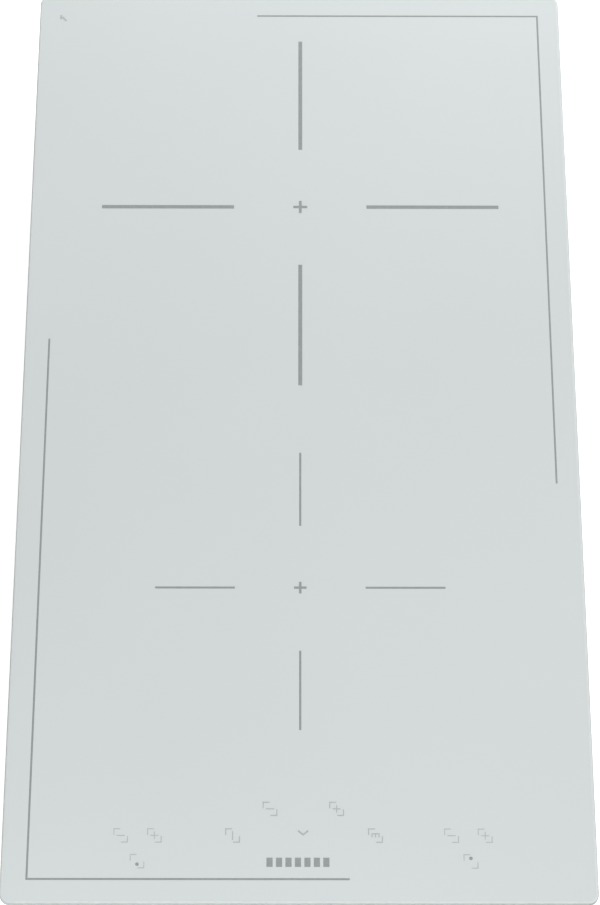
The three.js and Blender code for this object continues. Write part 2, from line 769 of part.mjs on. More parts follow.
// Two slots part the mains side of the board from the rest.
function powerBoard() {
  const { right, front, rear, bottom, top } = BOARD;
  const middle = (front + rear) / 2;
  const outline = roundedRectangle(right, (rear - front) / 2, 3, 0, middle);
  const { x, y: row, half } = BOARD_SLOTS;
  for (const y of [-row, row]) outline.holes.push(roundedRectangle(...half, 1, x, y));
  return plate(outline, bottom, top, 3);
}

// Extruded heat sink with its fins along Y, in the blower's stream.
function heatSink() {
  const { left, right, front, rear, bottom, baseTop, top } = SINK;
  const { count, thickness } = FIN;
  const pitch = (right - left - thickness) / (count - 1);
  const comb = Array.from({ length: count }, (_, i) => {
    const x = right - i * pitch;
    return [
      [x, baseTop],
      [x, top],
      [x - thickness, top],
      [x - thickness, baseTop],
    ];
  });
  const outline = [[left, bottom], [right, bottom], ...comb.flat()];
  return prismAlongY(polygon(outline), front, rear);
}

// A flat power package under the heat sink: moulded body and bare metal tab.
function powerPackage(width, depth) {
  const { height, tabBottom, tabReach, tabInset } = PACKAGE;
  const tabHalf = width / 2 - tabInset;
  const tabEnds = [depth / 2 - 1, depth / 2 + tabReach];
  const body = box([-width / 2, width / 2], [-depth / 2, depth / 2], [0, height]);
  return join(body, box([-tabHalf, tabHalf], tabEnds, [tabBottom, height]));
}

function addPowerParts() {
  const seat = BOARD.top + GAP;
  const sinkX = (SINK.left + SINK.right) / 2;
  for (const { name, size, y } of POWER_PACKAGES) {
    add(name, powerPackage(...size), FINISH.blackPlastic, groupAt(sinkX, y, seat));
  }
  for (const { name, x, y, size } of CAPACITORS) {
    const [width, depth, height] = size;
    const block = plate(roundedRectangle(width / 2, depth / 2, 1.5), 0, height, 2);
    add(name, block, FINISH.capacitor, groupAt(x, y, seat));
  }
  add("filter_choke", filterChoke(), FINISH.copper, groupAt(CHOKE.x, CHOKE.y, seat));
  const place = groupAt(TRANSFORMER.x, TRANSFORMER.y, seat);
  add("switching_transformer", switchingTransformer(), FINISH.ferrite, place);
}

// A wound ring core with rounded edges.
function filterChoke() {
  const { inner, outer, height, round } = CHOKE;
  return turned(
    [
      [inner, round],
      [inner + round, 0],
      [outer - round, 0],
      [outer, round],
      [outer, height - round],
      [outer - round, height],
      [inner + round, height],
      [inner, height - round],
    ],
    20,
  );
}

// A ferrite core with its winding standing out at both ends.
function switchingTransformer() {
  const [coreX, coreY, height] = TRANSFORMER.core;
  const [windingX, windingY, low, high] = TRANSFORMER.winding;
  return join(
    plate(roundedRectangle(coreX, coreY, 1), 0, height, 2),
    box([-windingX, windingX], [-windingY, windingY], [low, high]),
  );
}

// ---------------------------------------------------------------- blower and air duct

// The centre line of the scroll wall, which widens evenly from its tongue to its outlet.
function scrollLine() {
  const steps = 22;
  return Array.from({ length: steps + 1 }, (_, i) => {
    const share = i / steps;
    const angle = TONGUE_ANGLE + share * (OUTLET_ANGLE - TONGUE_ANGLE);
    const radius = SCROLL.tongue + share * (SCROLL.widest - SCROLL.tongue);
    return [BLOWER.x + radius * Math.cos(angle), BLOWER.y + radius * Math.sin(angle)];
  });
}

const tongueX = scrollLine()[0][0];
const outletX = BLOWER.x - SCROLL.widest;

function scrollOutline() {
  const wall = SCROLL.wall / 2;
  const spiral = scrollLine().map(([x, y]) => {
    const reach = Math.hypot(x - BLOWER.x, y - BLOWER.y);
    const grown = (reach + wall) / reach;
    return [BLOWER.x + (x - BLOWER.x) * grown, BLOWER.y + (y - BLOWER.y) * grown];
  });
  return polygon([
    ...spiral.slice(1),
    [outletX - wall, SCROLL.outletY],
    [tongueX + wall, SCROLL.outletY],
    [tongueX + wall, spiral[0][1] + 1],
  ]);
}

function blowerScroll() {
  const { floor, floorTop, wallTop } = BLOWER;
  const line = [...scrollLine(), [outletX, SCROLL.outletY]];
  const wall = plate(stripOutline(line, SCROLL.wall), floorTop - 0.5, wallTop);
  const tongueWall = box(
    [tongueX - SCROLL.wall / 2, tongueX + SCROLL.wall / 2],
    [SCROLL.outletY, line[0][1] + 0.8],
    [floorTop - 0.5, wallTop],
  );
  const inlet = rod(SCROLL.inlet, BLOWER.x, BLOWER.y, floor - 1, floorTop + 1, 28);
  return join(cut(plate(scrollOutline(), floor, floorTop), inlet), wall, tongueWall);
}

const blowerCover = () => plate(scrollOutline(), BLOWER.wallTop + GAP, BLOWER.coverTop);

// Centrifugal impeller: a cup over the motor, a back plate, blades, and a ring at the inlet.
function blowerImpeller() {
  const { radius, bottom, top, hub: hubRadius, cup, cupFloor, blades, blade, bladeTurn } = IMPELLER;
  const plateBottom = top - IMPELLER.plate;
  const [ringWidth, ringHeight] = IMPELLER.ring;
  const hub = turned(
    [
      [0, cupFloor[0]],
      [hubRadius, cupFloor[0]],
      [hubRadius, plateBottom],
      [radius, plateBottom],
      [radius, top],
      [cup, top],
      [cup, cupFloor[1]],
      [0, cupFloor[1]],
    ],
    28,
  );
  const rim = turned(
    [
      [radius - ringWidth, bottom],
      [radius, bottom],
      [radius, bottom + ringHeight],
      [radius - ringWidth, bottom + ringHeight],
    ],
    28,
  );
  const vanes = Array.from({ length: blades }, (_, i) => {
    const [length, thickness] = blade;
    const vane = box(
      [-length / 2, length / 2],
      [-thickness / 2, thickness / 2],
      [bottom + 0.8, top - 1],
    );
    vane.rotateZ(bladeTurn).translate(radius - length / 2 - 0.5, 0, 0);
    return vane.rotateZ((i * 2 * Math.PI) / blades);
  });
  return join(hub, rim, vanes);
}

function blowerMotor() {
  const { stator, flange, bottom, flangeBottom } = MOTOR;
  const profile = [
    [0, bottom],
    [stator, bottom],
    [stator, flangeBottom],
    [flange, flangeBottom],
    [flange, BLOWER.wallTop],
    [0, BLOWER.wallTop],
  ];
  return turned(profile, 20);
}

// A cover open downwards, which carries the air from the scroll's outlet over the heat sink.
function airDuct() {
  const { wall, clearance, roof } = DUCT;
  const entry = SCROLL.outletY - 1.5;
  const end = SINK.front - 4;
  const left = [
    [outletX, entry],
    [SINK.left - clearance, SINK.rear + 4],
    [SINK.left - clearance, end],
  ];
  const right = [
    [tongueX, entry],
    [SINK.right + clearance, SINK.rear + 2],
    [SINK.right + clearance, end],
  ];
  const heights = [BOARD.top + GAP, roof[0] + 0.5];
  const walls = [left, right].map((line) => plate(stripOutline(line, wall), ...heights));
  const outline = polygon([
    ...left.map(([x, y]) => [x - wall / 2, y]),
    ...right.reverse().map(([x, y]) => [x + wall / 2, y]),
  ]);
  return join(walls, plate(outline, ...roof));
}

function addBlower() {
  add("blower_scroll", blowerScroll(), FINISH.blackPlastic);
  add("blower_cover", blowerCover(), FINISH.blackPlastic);
  const shaft = groupAt(BLOWER.x, BLOWER.y, 0);
  add("blower_motor", blowerMotor(), FINISH.greyPlastic, shaft);
  add("blower_impeller", blowerImpeller(), FINISH.blackPlastic, shaft);
}

// ---------------------------------------------------------------- touch controls

// A shallow plastic tray on four legs that holds the touch board up under the glass.
function controlCarrier() {
  const { half, front, rear, floor, rim, board } = CONTROL;
  const middle = (front + rear) / 2;
  const halfDepth = (rear - front) / 2;
  const outside = plate(roundedRectangle(half, halfDepth, 2, 0, middle), floor, rim);
  const innerHalf = [half - CONTROL_WALL, halfDepth - CONTROL_WALL];
  const hollow = roundedRectangle(...innerHalf, 1, 0, middle);
  const inside = plate(hollow, floor + CONTROL_WALL, rim + 1);
  const notchX = [RIBBON.x[0] - 2, RIBBON.x[1] + 2];
  const cableNotch = box(notchX, [rear - 3, rear + 1], [floor + 2.5, rim + 1]);
  const ledges = LEDGES.map((x) =>
    box([x - 1, x + 1], [front + 1, rear - 1], [floor + 1, board[0] - GAP]),
  );
  const { inset, half: leg } = CONTROL_LEG;
  const legs = [-1, 1].flatMap((side) =>
    [front + inset, rear - inset].map((y) => {
      const x = side * (half - inset);
      return box([x - leg, x + leg], [y - leg, y + leg], [TRAY_SEAT, floor + 0.5]);
    }),
  );
  return join(cut(outside, inside, cableNotch), ledges, legs);
}

// The touch board, with a spring electrode under each key and three displays soldered on.
function controlBoard() {
  const { half, front, rear, board } = CONTROL;
  const outline = roundedRectangle(half - 2.5, (rear - front) / 2 - 2, 1.5, 0, (front + rear) / 2);
  const sunk = board[1] - 0.5;
  const springs = KEYS.map(([x, y]) =>
    rod(SPRING_RADIUS, x, y, sunk, GLASS_UNDERSIDE - GAP, 8),
  );
  const [halfX, halfY] = DISPLAY.half;
  const displays = DISPLAYS.map(([x, y]) =>
    box([x - halfX, x + halfX], [y - halfY, y + halfY], [sunk, board[1] + DISPLAY.height]),
  );
  return join(plate(outline, ...board, 2), springs, displays);
}

// Flat cable from the touch board to the power board.
function controlRibbon() {
  const line = [
    [-204.5, 42.2],
    [-196, 42],
    [-191, 38],
    [-188, 30],
    [-180, 19],
    [-160, 13],
    [-130, 11.5],
    [-108, 11],
  ];
  return prismAlongX(stripOutline(line, RIBBON.thickness), ...RIBBON.x);
}

// ---------------------------------------------------------------- assembly

add("glass_panel", glassPanel(), FINISH.whiteGlass);
add("worktop_gasket", worktopGasket(), FINISH.foam);
add("glass_adhesive", glassAdhesive(), FINISH.silicone);
add("glass_frame", glassFrame(), FINISH.blackSteel);
add("casing_tray", casingTray(), FINISH.galvanised);
addCaseScrews();
addClips();

add("terminal_box", terminalBox(), FINISH.blackPlastic);
add("terminal_lid", terminalLid(), FINISH.blackPlastic);
add("terminal_block", terminalBlock(), FINISH.greyPlastic);
add("cable_clamp", cableClamp(), FINISH.greyPlastic);
add("cable_grommet", cableGrommet(), FINISH.silicone);
add("mains_lead", mainsLead(), FINISH.sleeve);
add("earth_lead", earthLead(), FINISH.sleeve);

add("coil_plate", coilPlate(), FINISH.aluminium);
ZONES.forEach(addCoil);
add("rear_coil_lead", coilLead(ZONES[0], COIL_LEAD.rearBoardY), FINISH.sleeve);
add("front_coil_lead", coilLead(ZONES[1], COIL_LEAD.frontBoardY), FINISH.sleeve);

add("board_carrier", boardCarrier(), FINISH.blackPlastic);
add("power_board", powerBoard(), FINISH.circuitBoard);
add("heat_sink", heatSink(), FINISH.aluminium);
addPowerParts();
addBlower();
add("air_duct", airDuct(), FINISH.blackPlastic);

add("control_carrier", controlCarrier(), FINISH.blackPlastic);
add("control_board", controlBoard(), FINISH.circuitBoard);
add("control_ribbon", controlRibbon(), FINISH.sleeve);

export default root;
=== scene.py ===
"""Two-zone built-in induction cooktop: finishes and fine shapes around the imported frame.

Metres, +Z up, the user at -Y. Places come from the frame's own boxes, and MM turns millimetres
into metres.
"""

import json
import math

import bmesh
import bpy
from mathutils import Matrix, Vector


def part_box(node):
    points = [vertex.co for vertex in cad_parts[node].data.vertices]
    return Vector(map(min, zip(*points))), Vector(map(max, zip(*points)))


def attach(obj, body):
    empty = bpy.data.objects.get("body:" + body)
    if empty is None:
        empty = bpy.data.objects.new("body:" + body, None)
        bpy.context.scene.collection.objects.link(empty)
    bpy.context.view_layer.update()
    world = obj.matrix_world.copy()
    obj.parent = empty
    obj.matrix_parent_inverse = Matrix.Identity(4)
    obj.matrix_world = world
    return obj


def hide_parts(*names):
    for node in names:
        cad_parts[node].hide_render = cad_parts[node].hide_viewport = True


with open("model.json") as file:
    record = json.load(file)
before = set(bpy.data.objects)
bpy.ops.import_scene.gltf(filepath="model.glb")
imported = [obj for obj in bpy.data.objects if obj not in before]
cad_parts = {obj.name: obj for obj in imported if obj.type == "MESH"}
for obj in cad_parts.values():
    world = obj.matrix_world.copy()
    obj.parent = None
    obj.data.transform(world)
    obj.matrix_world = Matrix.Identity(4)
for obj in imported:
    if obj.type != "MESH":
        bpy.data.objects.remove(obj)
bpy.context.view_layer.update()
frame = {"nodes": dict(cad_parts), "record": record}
MM = 0.001

SLOT_OF = {row["node"]: row["material_slot"] for row in frame["record"]["subparts"]}
BODY_OF = {
    node: body
    for body, members in frame["record"]["behaviour"]["bodies"].items()
    for node in members
}

# ---------------------------------------------------------------- materials


class Nodes:
    """A short way to write a Principled material's node tree, in the object's own coordinates."""

    def __init__(self, name, color, roughness, metallic=0.0):
        self.material = bpy.data.materials.new(name)
        self.material.use_nodes = True
        self.tree = self.material.node_tree
        self.shader = self.tree.nodes["Principled BSDF"]
        self.set("Base Color", (*color, 1))
        self.set("Roughness", roughness)
        self.set("Metallic", metallic)
        self.place = self.add("ShaderNodeTexCoord").outputs["Object"]

    def add(self, kind, **settings):
        node = self.tree.nodes.new(kind)
        for key, value in settings.items():
            setattr(node, key, value)
        return node

    def set(self, socket, value):
        self.shader.inputs[socket].default_value = value

    def link(self, source, target):
        self.tree.links.new(source, target)

    def stretched(self, scale):
        mapping = self.add("ShaderNodeMapping")
        mapping.inputs["Scale"].default_value = scale
        self.link(self.place, mapping.inputs["Vector"])
        return mapping.outputs["Vector"]

    def noise(self, scale, detail, stretch=None):
        node = self.add("ShaderNodeTexNoise")
        node.inputs["Scale"].default_value = scale
        node.inputs["Detail"].default_value = detail
        self.link(self.stretched(stretch) if stretch else self.place, node.inputs["Vector"])
        return node.outputs["Fac"]

    def cells(self, scale):
        node = self.add("ShaderNodeTexVoronoi")
        node.inputs["Scale"].default_value = scale
        self.link(self.place, node.inputs["Vector"])
        return node.outputs["Color"]

    def ramp(self, factor, low, high, start=0.3, end=0.7):
        """Colours or grey levels spread over a factor."""
        node = self.add("ShaderNodeValToRGB")
        stops = node.color_ramp.elements
        for stop, value, position in ((stops[0], low, start), (stops[1], high, end)):
            stop.position = position
            stop.color = (*value, 1) if isinstance(value, tuple) else (value, value, value, 1)
        self.link(factor, node.inputs["Fac"])
        return node.outputs["Color"]

    def mixed(self, factor, first, second):
        node = self.add("ShaderNodeMix", data_type="FLOAT")
        node.inputs["Factor"].default_value = factor
        self.link(first, node.inputs["A"])
        self.link(second, node.inputs["B"])
        return node.outputs["Result"]

    def vary_color(self, factor, low, high, start=0.3, end=0.7):
        self.link(self.ramp(factor, low, high, start, end), self.shader.inputs["Base Color"])

    def vary_roughness(self, factor, low, high):
        self.link(self.ramp(factor, low, high), self.shader.inputs["Roughness"])

    def bump(self, factor, strength, depth):
        node = self.add("ShaderNodeBump")
        node.inputs["Strength"].default_value = strength
        node.inputs["Distance"].default_value = depth
        self.link(factor, node.inputs["Height"])
        self.link(node.outputs["Normal"], self.shader.inputs["Normal"])


def shade(color, factor):
    return tuple(channel * factor for channel in color)


def glass_white():
    """Glass with a pale back coating: an even, cool grey-white under a clear gloss."""
    color = (0.433, 0.461, 0.463)
    made = Nodes("glass_white", color, 0.16)
    made.vary_color(made.noise(5, 2), shade(color, 0.985), shade(color, 1.015))
    made.vary_roughness(made.noise(260, 3), 0.15, 0.19)
    made.set("Coat Weight", 0.35)
    made.set("Coat Roughness", 0.09)
    made.bump(made.noise(900, 2), 0.03, 0.02 * MM)
    return made.material


def ground_glass(name, color, roughness):
    """Glass where it was ground: matt, with the fine scratches of the wheel."""
    made = Nodes(name, color, roughness)
    made.vary_color(made.noise(420, 5), shade(color, 0.96), shade(color, 1.04))
    made.vary_roughness(made.noise(700, 4), roughness * 0.85, roughness * 1.15)
    made.bump(made.noise(2600, 4), 0.25, 0.03 * MM)
    return made.material


def ink(name, color):
    """Screen-printed ceramic ink, a little uneven."""
    made = Nodes(name, color, 0.4)
    made.vary_color(made.noise(900, 4), shade(color, 0.92), shade(color, 1.08))
    made.bump(made.noise(4000, 2), 0.1, 0.01 * MM)
    return made.material


def galvanised():
    """Zinc-coated sheet: soft spangle, a faint rolling direction and small handling scratches."""
    made = Nodes("galvanised", (0.43, 0.445, 0.455), 0.4, 0.95)
    spangle = made.cells(360)
    clouded = made.mixed(0.4, spangle, made.noise(30, 5))
    made.vary_color(clouded, (0.38, 0.395, 0.405), (0.48, 0.495, 0.505), 0.15, 0.85)
    made.vary_roughness(made.noise(60, 6, (1, 0.06, 1)), 0.33, 0.47)
    grain = made.noise(1500, 5, (1, 0.04, 1))
    made.bump(made.mixed(0.35, grain, spangle), 0.16, 0.03 * MM)
    return made.material


def metal(name, color, roughness, stretch):
    """Bare metal with the fine lines of its rolling or drawing."""
    grain = 1400
    made = Nodes(name, color, roughness, 1.0)
    made.vary_color(made.noise(80, 4), shade(color, 0.9), shade(color, 1.06))
    made.vary_roughness(made.noise(grain, 4, stretch), roughness * 0.8, roughness * 1.25)
    made.bump(made.noise(grain, 3, stretch), 0.15, 0.02 * MM)
    return made.material


def litz():
    """Enamelled copper strands, twisted: fine dark gaps between bright threads."""
    made = Nodes("copper", (0.6, 0.26, 0.11), 0.36, 1.0)
    strands = made.cells(1500)
    made.vary_color(strands, (0.4, 0.15, 0.06), (0.72, 0.34, 0.15), 0.1, 0.7)
    made.vary_roughness(made.noise(600, 3), 0.3, 0.46)
    made.bump(strands, 0.5, 0.12 * MM)
    return made.material


def powder_coat():
    """Black powder coating with its orange-peel surface."""
    color = (0.02, 0.021, 0.022)
    made = Nodes("powder_coat", color, 0.5)
    made.vary_color(made.noise(90, 4), shade(color, 0.85), shade(color, 1.15))
    made.vary_roughness(made.noise(500, 3), 0.42, 0.58)
    made.bump(made.noise(2200, 3), 0.35, 0.05 * MM)
    return made.material


def moulded(name, color, roughness=0.55):
    """Injection-moulded plastic with a spark-eroded grain."""
    made = Nodes(name, color, roughness)
    made.vary_color(made.noise(45, 4), shade(color, 0.88), shade(color, 1.12))
    made.vary_roughness(made.noise(700, 3), roughness * 0.88, roughness * 1.12)
    made.bump(made.noise(3200, 4), 0.3, 0.03 * MM)
    return made.material


def foam():
    """Closed-cell foam, dark and open where it was cut."""
    made = Nodes("foam", (0.022, 0.023, 0.024), 0.95)
    made.vary_color(made.noise(1500, 4), (0.012, 0.012, 0.013), (0.035, 0.036, 0.038))
    made.bump(made.cells(2200), 0.7, 0.12 * MM)
    return made.material


def rubbery(name, color):
    """Silicone rubber, matt and faintly clouded."""
    made = Nodes(name, color, 0.62)
    made.vary_color(made.noise(160, 4), shade(color, 0.85), shade(color, 1.15))
    made.bump(made.noise(1800, 3), 0.2, 0.04 * MM)
    return made.material


def speckled(name, color, roughness, scale):
    """Sintered or layered material with a visible grain."""
    made = Nodes(name, color, roughness)
    made.vary_color(made.noise(scale, 8), shade(color, 0.7), shade(color, 1.25))
    made.bump(made.noise(scale * 2, 4), 0.3, 0.05 * MM)
    return made.material


def solder_mask():
    """Green board with the faint relief of its tracks."""
    made = Nodes("solder_mask", (0.02, 0.11, 0.045), 0.35)
    tracks = made.noise(330, 1, (1, 0.16, 1))
    made.vary_color(tracks, (0.016, 0.09, 0.037), (0.025, 0.13, 0.052), 0.49, 0.51)
    made.bump(tracks, 0.2, 0.04 * MM)
    return made.material


def woven_sleeve():
    """Glass-fibre sleeve: crossed fine threads."""
    made = Nodes("woven_sleeve", (0.62, 0.6, 0.53), 0.75)
    made.vary_color(made.noise(900, 3), (0.55, 0.53, 0.46), (0.7, 0.68, 0.61))
    made.bump(made.cells(2600), 0.5, 0.12 * MM)
    return made.material


def blank_label():
    """Brushed silver film with nothing printed on it."""
    made = Nodes("blank_label", (0.66, 0.67, 0.68), 0.35, 0.6)
    made.vary_color(made.noise(300, 4, (0.03, 1, 1)), (0.6, 0.61, 0.62), (0.72, 0.73, 0.74))
    made.vary_roughness(made.noise(900, 3, (0.03, 1, 1)), 0.28, 0.42)
    made.bump(made.noise(1600, 3), 0.08, 0.02 * MM)
    return made.material


MATERIALS = {
    "white_glass": glass_white(),
    # The bevel's colour is the top face's, 1.5 % darker: painted shade, so that the tilted bevel,
    # which catches more of the lamps, looks no lighter than the face.
    "glass_bevel": ground_glass("glass_bevel", (0.426, 0.454, 0.455), 0.4),
    "glass_edge": ground_glass("glass_edge", (0.31, 0.335, 0.33), 0.5),
    "silicone": rubbery("silicone", (0.018, 0.018, 0.02)),
    "foam": foam(),
    "black_steel": powder_coat(),
    "galvanised": galvanised(),
    "spring_steel": metal("spring_steel", (0.62, 0.64, 0.65), 0.28, (1, 0.05, 1)),
    "aluminium": metal("aluminium", (0.72, 0.73, 0.74), 0.33, (1, 0.04, 1)),
    "black_plastic": moulded("black_plastic", (0.022, 0.022, 0.024)),
    "grey_plastic": moulded("grey_plastic", (0.27, 0.28, 0.29)),
    "copper": litz(),
    "ferrite": speckled("ferrite", (0.05, 0.05, 0.052), 0.7, 500),
    "mica": speckled("mica", (0.5, 0.42, 0.27), 0.55, 220),
    "circuit_board": solder_mask(),
    "capacitor": moulded("capacitor", (0.55, 0.42, 0.05), 0.35),
    "sleeve": woven_sleeve(),
    "zone_ink": ink("zone_ink", (0.19, 0.21, 0.21)),
    "key_ink": ink("key_ink", (0.275, 0.3, 0.3)),
    "blank_label": blank_label(),
}


# ---------------------------------------------------------------- building pieces

SMOOTH_BELOW = math.radians(35)
FLAT_BELOW = math.radians(1)
WELD = 0.002 * MM  # points this close together are one
SPECK = 0.001 * MM  # edges this short are taken away after rounding and joining


def linked(name, mesh):
    made = bpy.data.objects.new(name, mesh)
    bpy.context.scene.collection.objects.link(made)
    return made


def mesh_from(name, bm):
    bmesh.ops.recalc_face_normals(bm, faces=bm.faces)
    mesh = bpy.data.meshes.new(name)
    bm.to_mesh(mesh)
    bm.free()
    return mesh


def dressed(piece, material):
    """Its material, and smooth shading at its rounded edges that leaves the flat faces flat."""
    piece.data.materials.clear()
    piece.data.materials.append(MATERIALS[material])
    piece.data.shade_smooth()
    piece.data.set_sharp_from_angle(angle=SMOOTH_BELOW)
    shading = piece.modifiers.new("flat_faces", "WEIGHTED_NORMAL")
    shading.keep_sharp = True


def piece_from(name, bm, material, body="housing"):
    """A new piece from a bmesh, riding on a body."""
    piece = linked(name, mesh_from(name, bm))
    dressed(piece, material)
    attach(piece, body)
    return piece


def standing_for(node, bm):
    """A new piece in the place of a CAD node, with that node's finish and body."""
    slot = SLOT_OF[node]
    piece = piece_from(f"{node}.fine", bm, slot, BODY_OF[node])
    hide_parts(node)
    return piece


def copy_of(node):
    """The CAD node's shape as a bmesh, with its flat faces merged."""
    bm = bmesh.new()
    bm.from_mesh(frame["nodes"][node].data)
    bmesh.ops.remove_doubles(bm, verts=bm.verts, dist=WELD)
    bmesh.ops.dissolve_limit(
        bm,
        angle_limit=FLAT_BELOW,
        use_dissolve_boundaries=False,
        verts=bm.verts,
        edges=bm.edges,
    )
    return bm


def round_edges(bm, edges, width, segments=2):
    bmesh.ops.bevel(
        bm,
        geom=edges,
        offset=width,
        segments=segments,
        profile=0.5,
        affect="EDGES",
        clamp_overlap=True,
    )


def without_specks(bm):
    """Takes away edges and faces too small to see."""
    bmesh.ops.dissolve_degenerate(bm, dist=SPECK, edges=bm.edges)


def sharp_edges(bm):
    return [
        edge
        for edge in bm.edges
        if len(edge.link_faces) == 2 and edge.calc_face_angle(0) > SMOOTH_BELOW
    ]


def softened(node, width):
    """A copy of a CAD node with its edges rounded, in the node's place."""
    bm = copy_of(node)
    round_edges(bm, sharp_edges(bm), width)
    without_specks(bm)
    standing_for(node, bm)


def joined_for(node, bm, extra):
    """A new piece in the place of a CAD node, made of two closed shapes joined into one."""
    piece = standing_for(node, bm)
    tool = linked("tool", mesh_from("tool", extra))
    piece.modifiers.clear()
    step = piece.modifiers.new("merge", "BOOLEAN")
    step.operation = "UNION"
    step.solver = "EXACT"
    step.object = tool
    graph = bpy.context.evaluated_depsgraph_get()
    plain = piece.data
    piece.data = bpy.data.meshes.new_from_object(piece.evaluated_get(graph))
    piece.modifiers.clear()
    whole = bmesh.new()
    whole.from_mesh(piece.data)
    without_specks(whole)
    whole.to_mesh(piece.data)
    whole.free()
    for used in (plain, tool.data):
        bpy.data.meshes.remove(used)  # the tool goes with its mesh
    dressed(piece, SLOT_OF[node])


def placed(x, y, z, turn=Matrix()):
    return Matrix.Translation((x, y, z)) @ turn


def prism(bm, outline, heights, place=Matrix()):
    """A solid of one outline between two heights."""
    rings = [[bm.verts.new(place @ Vector((x, y, z))) for x, y in outline] for z in heights]
    close_stack(bm, rings)


def bridge(bm, lower, upper):
    """Faces between two rings of the same count, or a ring and a single point."""
    count = max(len(lower), len(upper))
    for i in range(count):
        corners = [lower[i % len(lower)], lower[(i + 1) % len(lower)]]
        corners += [upper[(i + 1) % len(upper)], upper[i % len(upper)]]
        bm.faces.new(list(dict.fromkeys(corners)))


def close_stack(bm, rings):
    """A solid from rings of points, one above the other, closed at both ends."""
    for lower, upper in zip(rings, rings[1:]):
        bridge(bm, lower, upper)
    for end in (rings[0][::-1], rings[-1]):
        if len(end) > 2:
            bm.faces.new(end)


def rings_about(bm, profile, steps, place):
    """A ring of points about Z for each (radius, height), or one point where it lies on the axis."""
    rings = []
    for radius, height in profile:
        angles = [math.tau * i / steps for i in range(steps if radius else 1)]
        points = [Vector((radius * math.cos(a), radius * math.sin(a), height)) for a in angles]
        rings.append([bm.verts.new(place @ point) for point in points])
    return rings


def turned(bm, profile, steps, place):
    """A solid of revolution about Z. A profile that leaves the axis free closes on itself."""
    rings = rings_about(bm, profile, steps, place)
    hollow = len(rings[0]) > 1 and len(rings[-1]) > 1
    for lower, upper in zip(rings, rings[1:] + (rings[:1] if hollow else [])):
        bridge(bm, lower, upper)


def arc(centre, radius, start, end, steps):
    """Points of an arc in a plane, angles in degrees."""
    angles = [math.radians(start + (end - start) * i / steps) for i in range(steps + 1)]
    return [(centre[0] + radius * math.cos(a), centre[1] + radius * math.sin(a)) for a in angles]


def rounded_loop(half_x, half_y, radius, steps, centre=(0, 0)):
    """Points of a rounded rectangle, anticlockwise from its front right corner."""
    points = []
    for quarter, (side_x, side_y) in enumerate(((1, -1), (1, 1), (-1, 1), (-1, -1))):
        middle = (centre[0] + side_x * (half_x - radius), centre[1] + side_y * (half_y - radius))
        points += arc(middle, radius, 90 * (quarter - 1), 90 * quarter, steps)
    return points


def loop_at(bm, points, z):
    return [bm.verts.new((x, y, z)) for x, y in points]


def tube(bm, route, radius, sides, closed=False):
    """A round bar along a route of points, its ring carried along without twisting."""
    count = len(route)
    ways = []
    for i in range(count):
        before = route[(i - 1) % count if closed else max(i - 1, 0)]
        after = route[(i + 1) % count if closed else min(i + 1, count - 1)]
        ways.append((after - before).normalized())
    side = ways[0].orthogonal().normalized()
    rings = []
    for point, way in zip(route, ways):
        side = (side - way * side.dot(way)).normalized()
        up = way.cross(side)
        angles = [math.tau * i / sides for i in range(sides)]
        spots = [point + radius * (math.cos(a) * side + math.sin(a) * up) for a in angles]
        rings.append([bm.verts.new(spot) for spot in spots])
    if closed:
        for lower, upper in zip(rings, rings[1:] + rings[:1]):
            bridge(bm, lower, upper)
    else:
        close_stack(bm, rings)


def bent(start, bend, end, share):
    """The point and the direction at a share of the way round a smooth bend."""
    near, far = start.lerp(bend, share), bend.lerp(end, share)
    return near.lerp(far, share), (far - near).normalized()


def middle_of(node):
    low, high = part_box(node)
    return (low + high) / 2


# ---------------------------------------------------------------- glass panel

GLASS_LOW, GLASS_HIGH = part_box("glass_panel")
INK = 0.03 * MM  # height of the printed marks, which end level with the CAD glass
GLASS_TOP = GLASS_HIGH.z - INK
CORNER = 5 * MM
BEVEL = (1.4 * MM, 0.15 * MM)  # the ground bevel's width and depth
ARRIS = 0.7 * MM  # radius from the bevel to the upright edge
LEVEL_FACE = 0.999  # the upright part of a face's normal, at least
BEVEL_FACE = 0.9


def glass_section():
    """(inset, height) of the panel's outline, from its underside up to its top face."""
    low, high = GLASS_LOW.z, GLASS_TOP
    under = [(ARRIS - x, low + ARRIS - z) for x, z in arc((0, 0), ARRIS, 90, 0, 5)]
    upper = [(ARRIS - x, high - BEVEL[1] - ARRIS + z) for x, z in arc((0, 0), ARRIS, 0, 80, 5)]
    return under + upper + [(BEVEL[0], high)]


def glass_panel():
    """The sheet of glass: flat faces, a narrow ground bevel and a rounded edge."""
    bm = bmesh.new()
    rings = []
    for inset, height in glass_section():
        loop = rounded_loop(GLASS_HIGH.x - inset, GLASS_HIGH.y - inset, CORNER - inset, 12)
        rings.append(loop_at(bm, loop, height))
    close_stack(bm, rings)
    piece = standing_for("glass_panel", bm)
    piece.data.materials.append(MATERIALS["glass_bevel"])
    piece.data.materials.append(MATERIALS["glass_edge"])
    for face in piece.data.polygons:
        if abs(face.normal.z) > LEVEL_FACE:
            face.material_index = 0
        elif face.normal.z > BEVEL_FACE:
            face.material_index = 1
        else:
            face.material_index = 2


# ---------------------------------------------------------------- printed marks

PRINT_X = 0.5 * MM  # the zone marks stand a little right of the middle
PRINT_BEHIND = 1.3 * MM  # and a little behind the coils' centres
REAR_ZONE = middle_of("rear_mica_disc").y + PRINT_BEHIND
FRONT_ZONE = middle_of("front_mica_disc").y + PRINT_BEHIND
# Distances from a zone's centre to the inner and the outer end of each arm.
REAR_ARMS = {"side": (35.75, 107.2), "rear": (35.7, 105.4), "front": (35.4, 107.1)}
FRONT_ARMS = {"side": (33.15, 73.7), "rear": (34, 75.1), "front": (34, 75.8)}


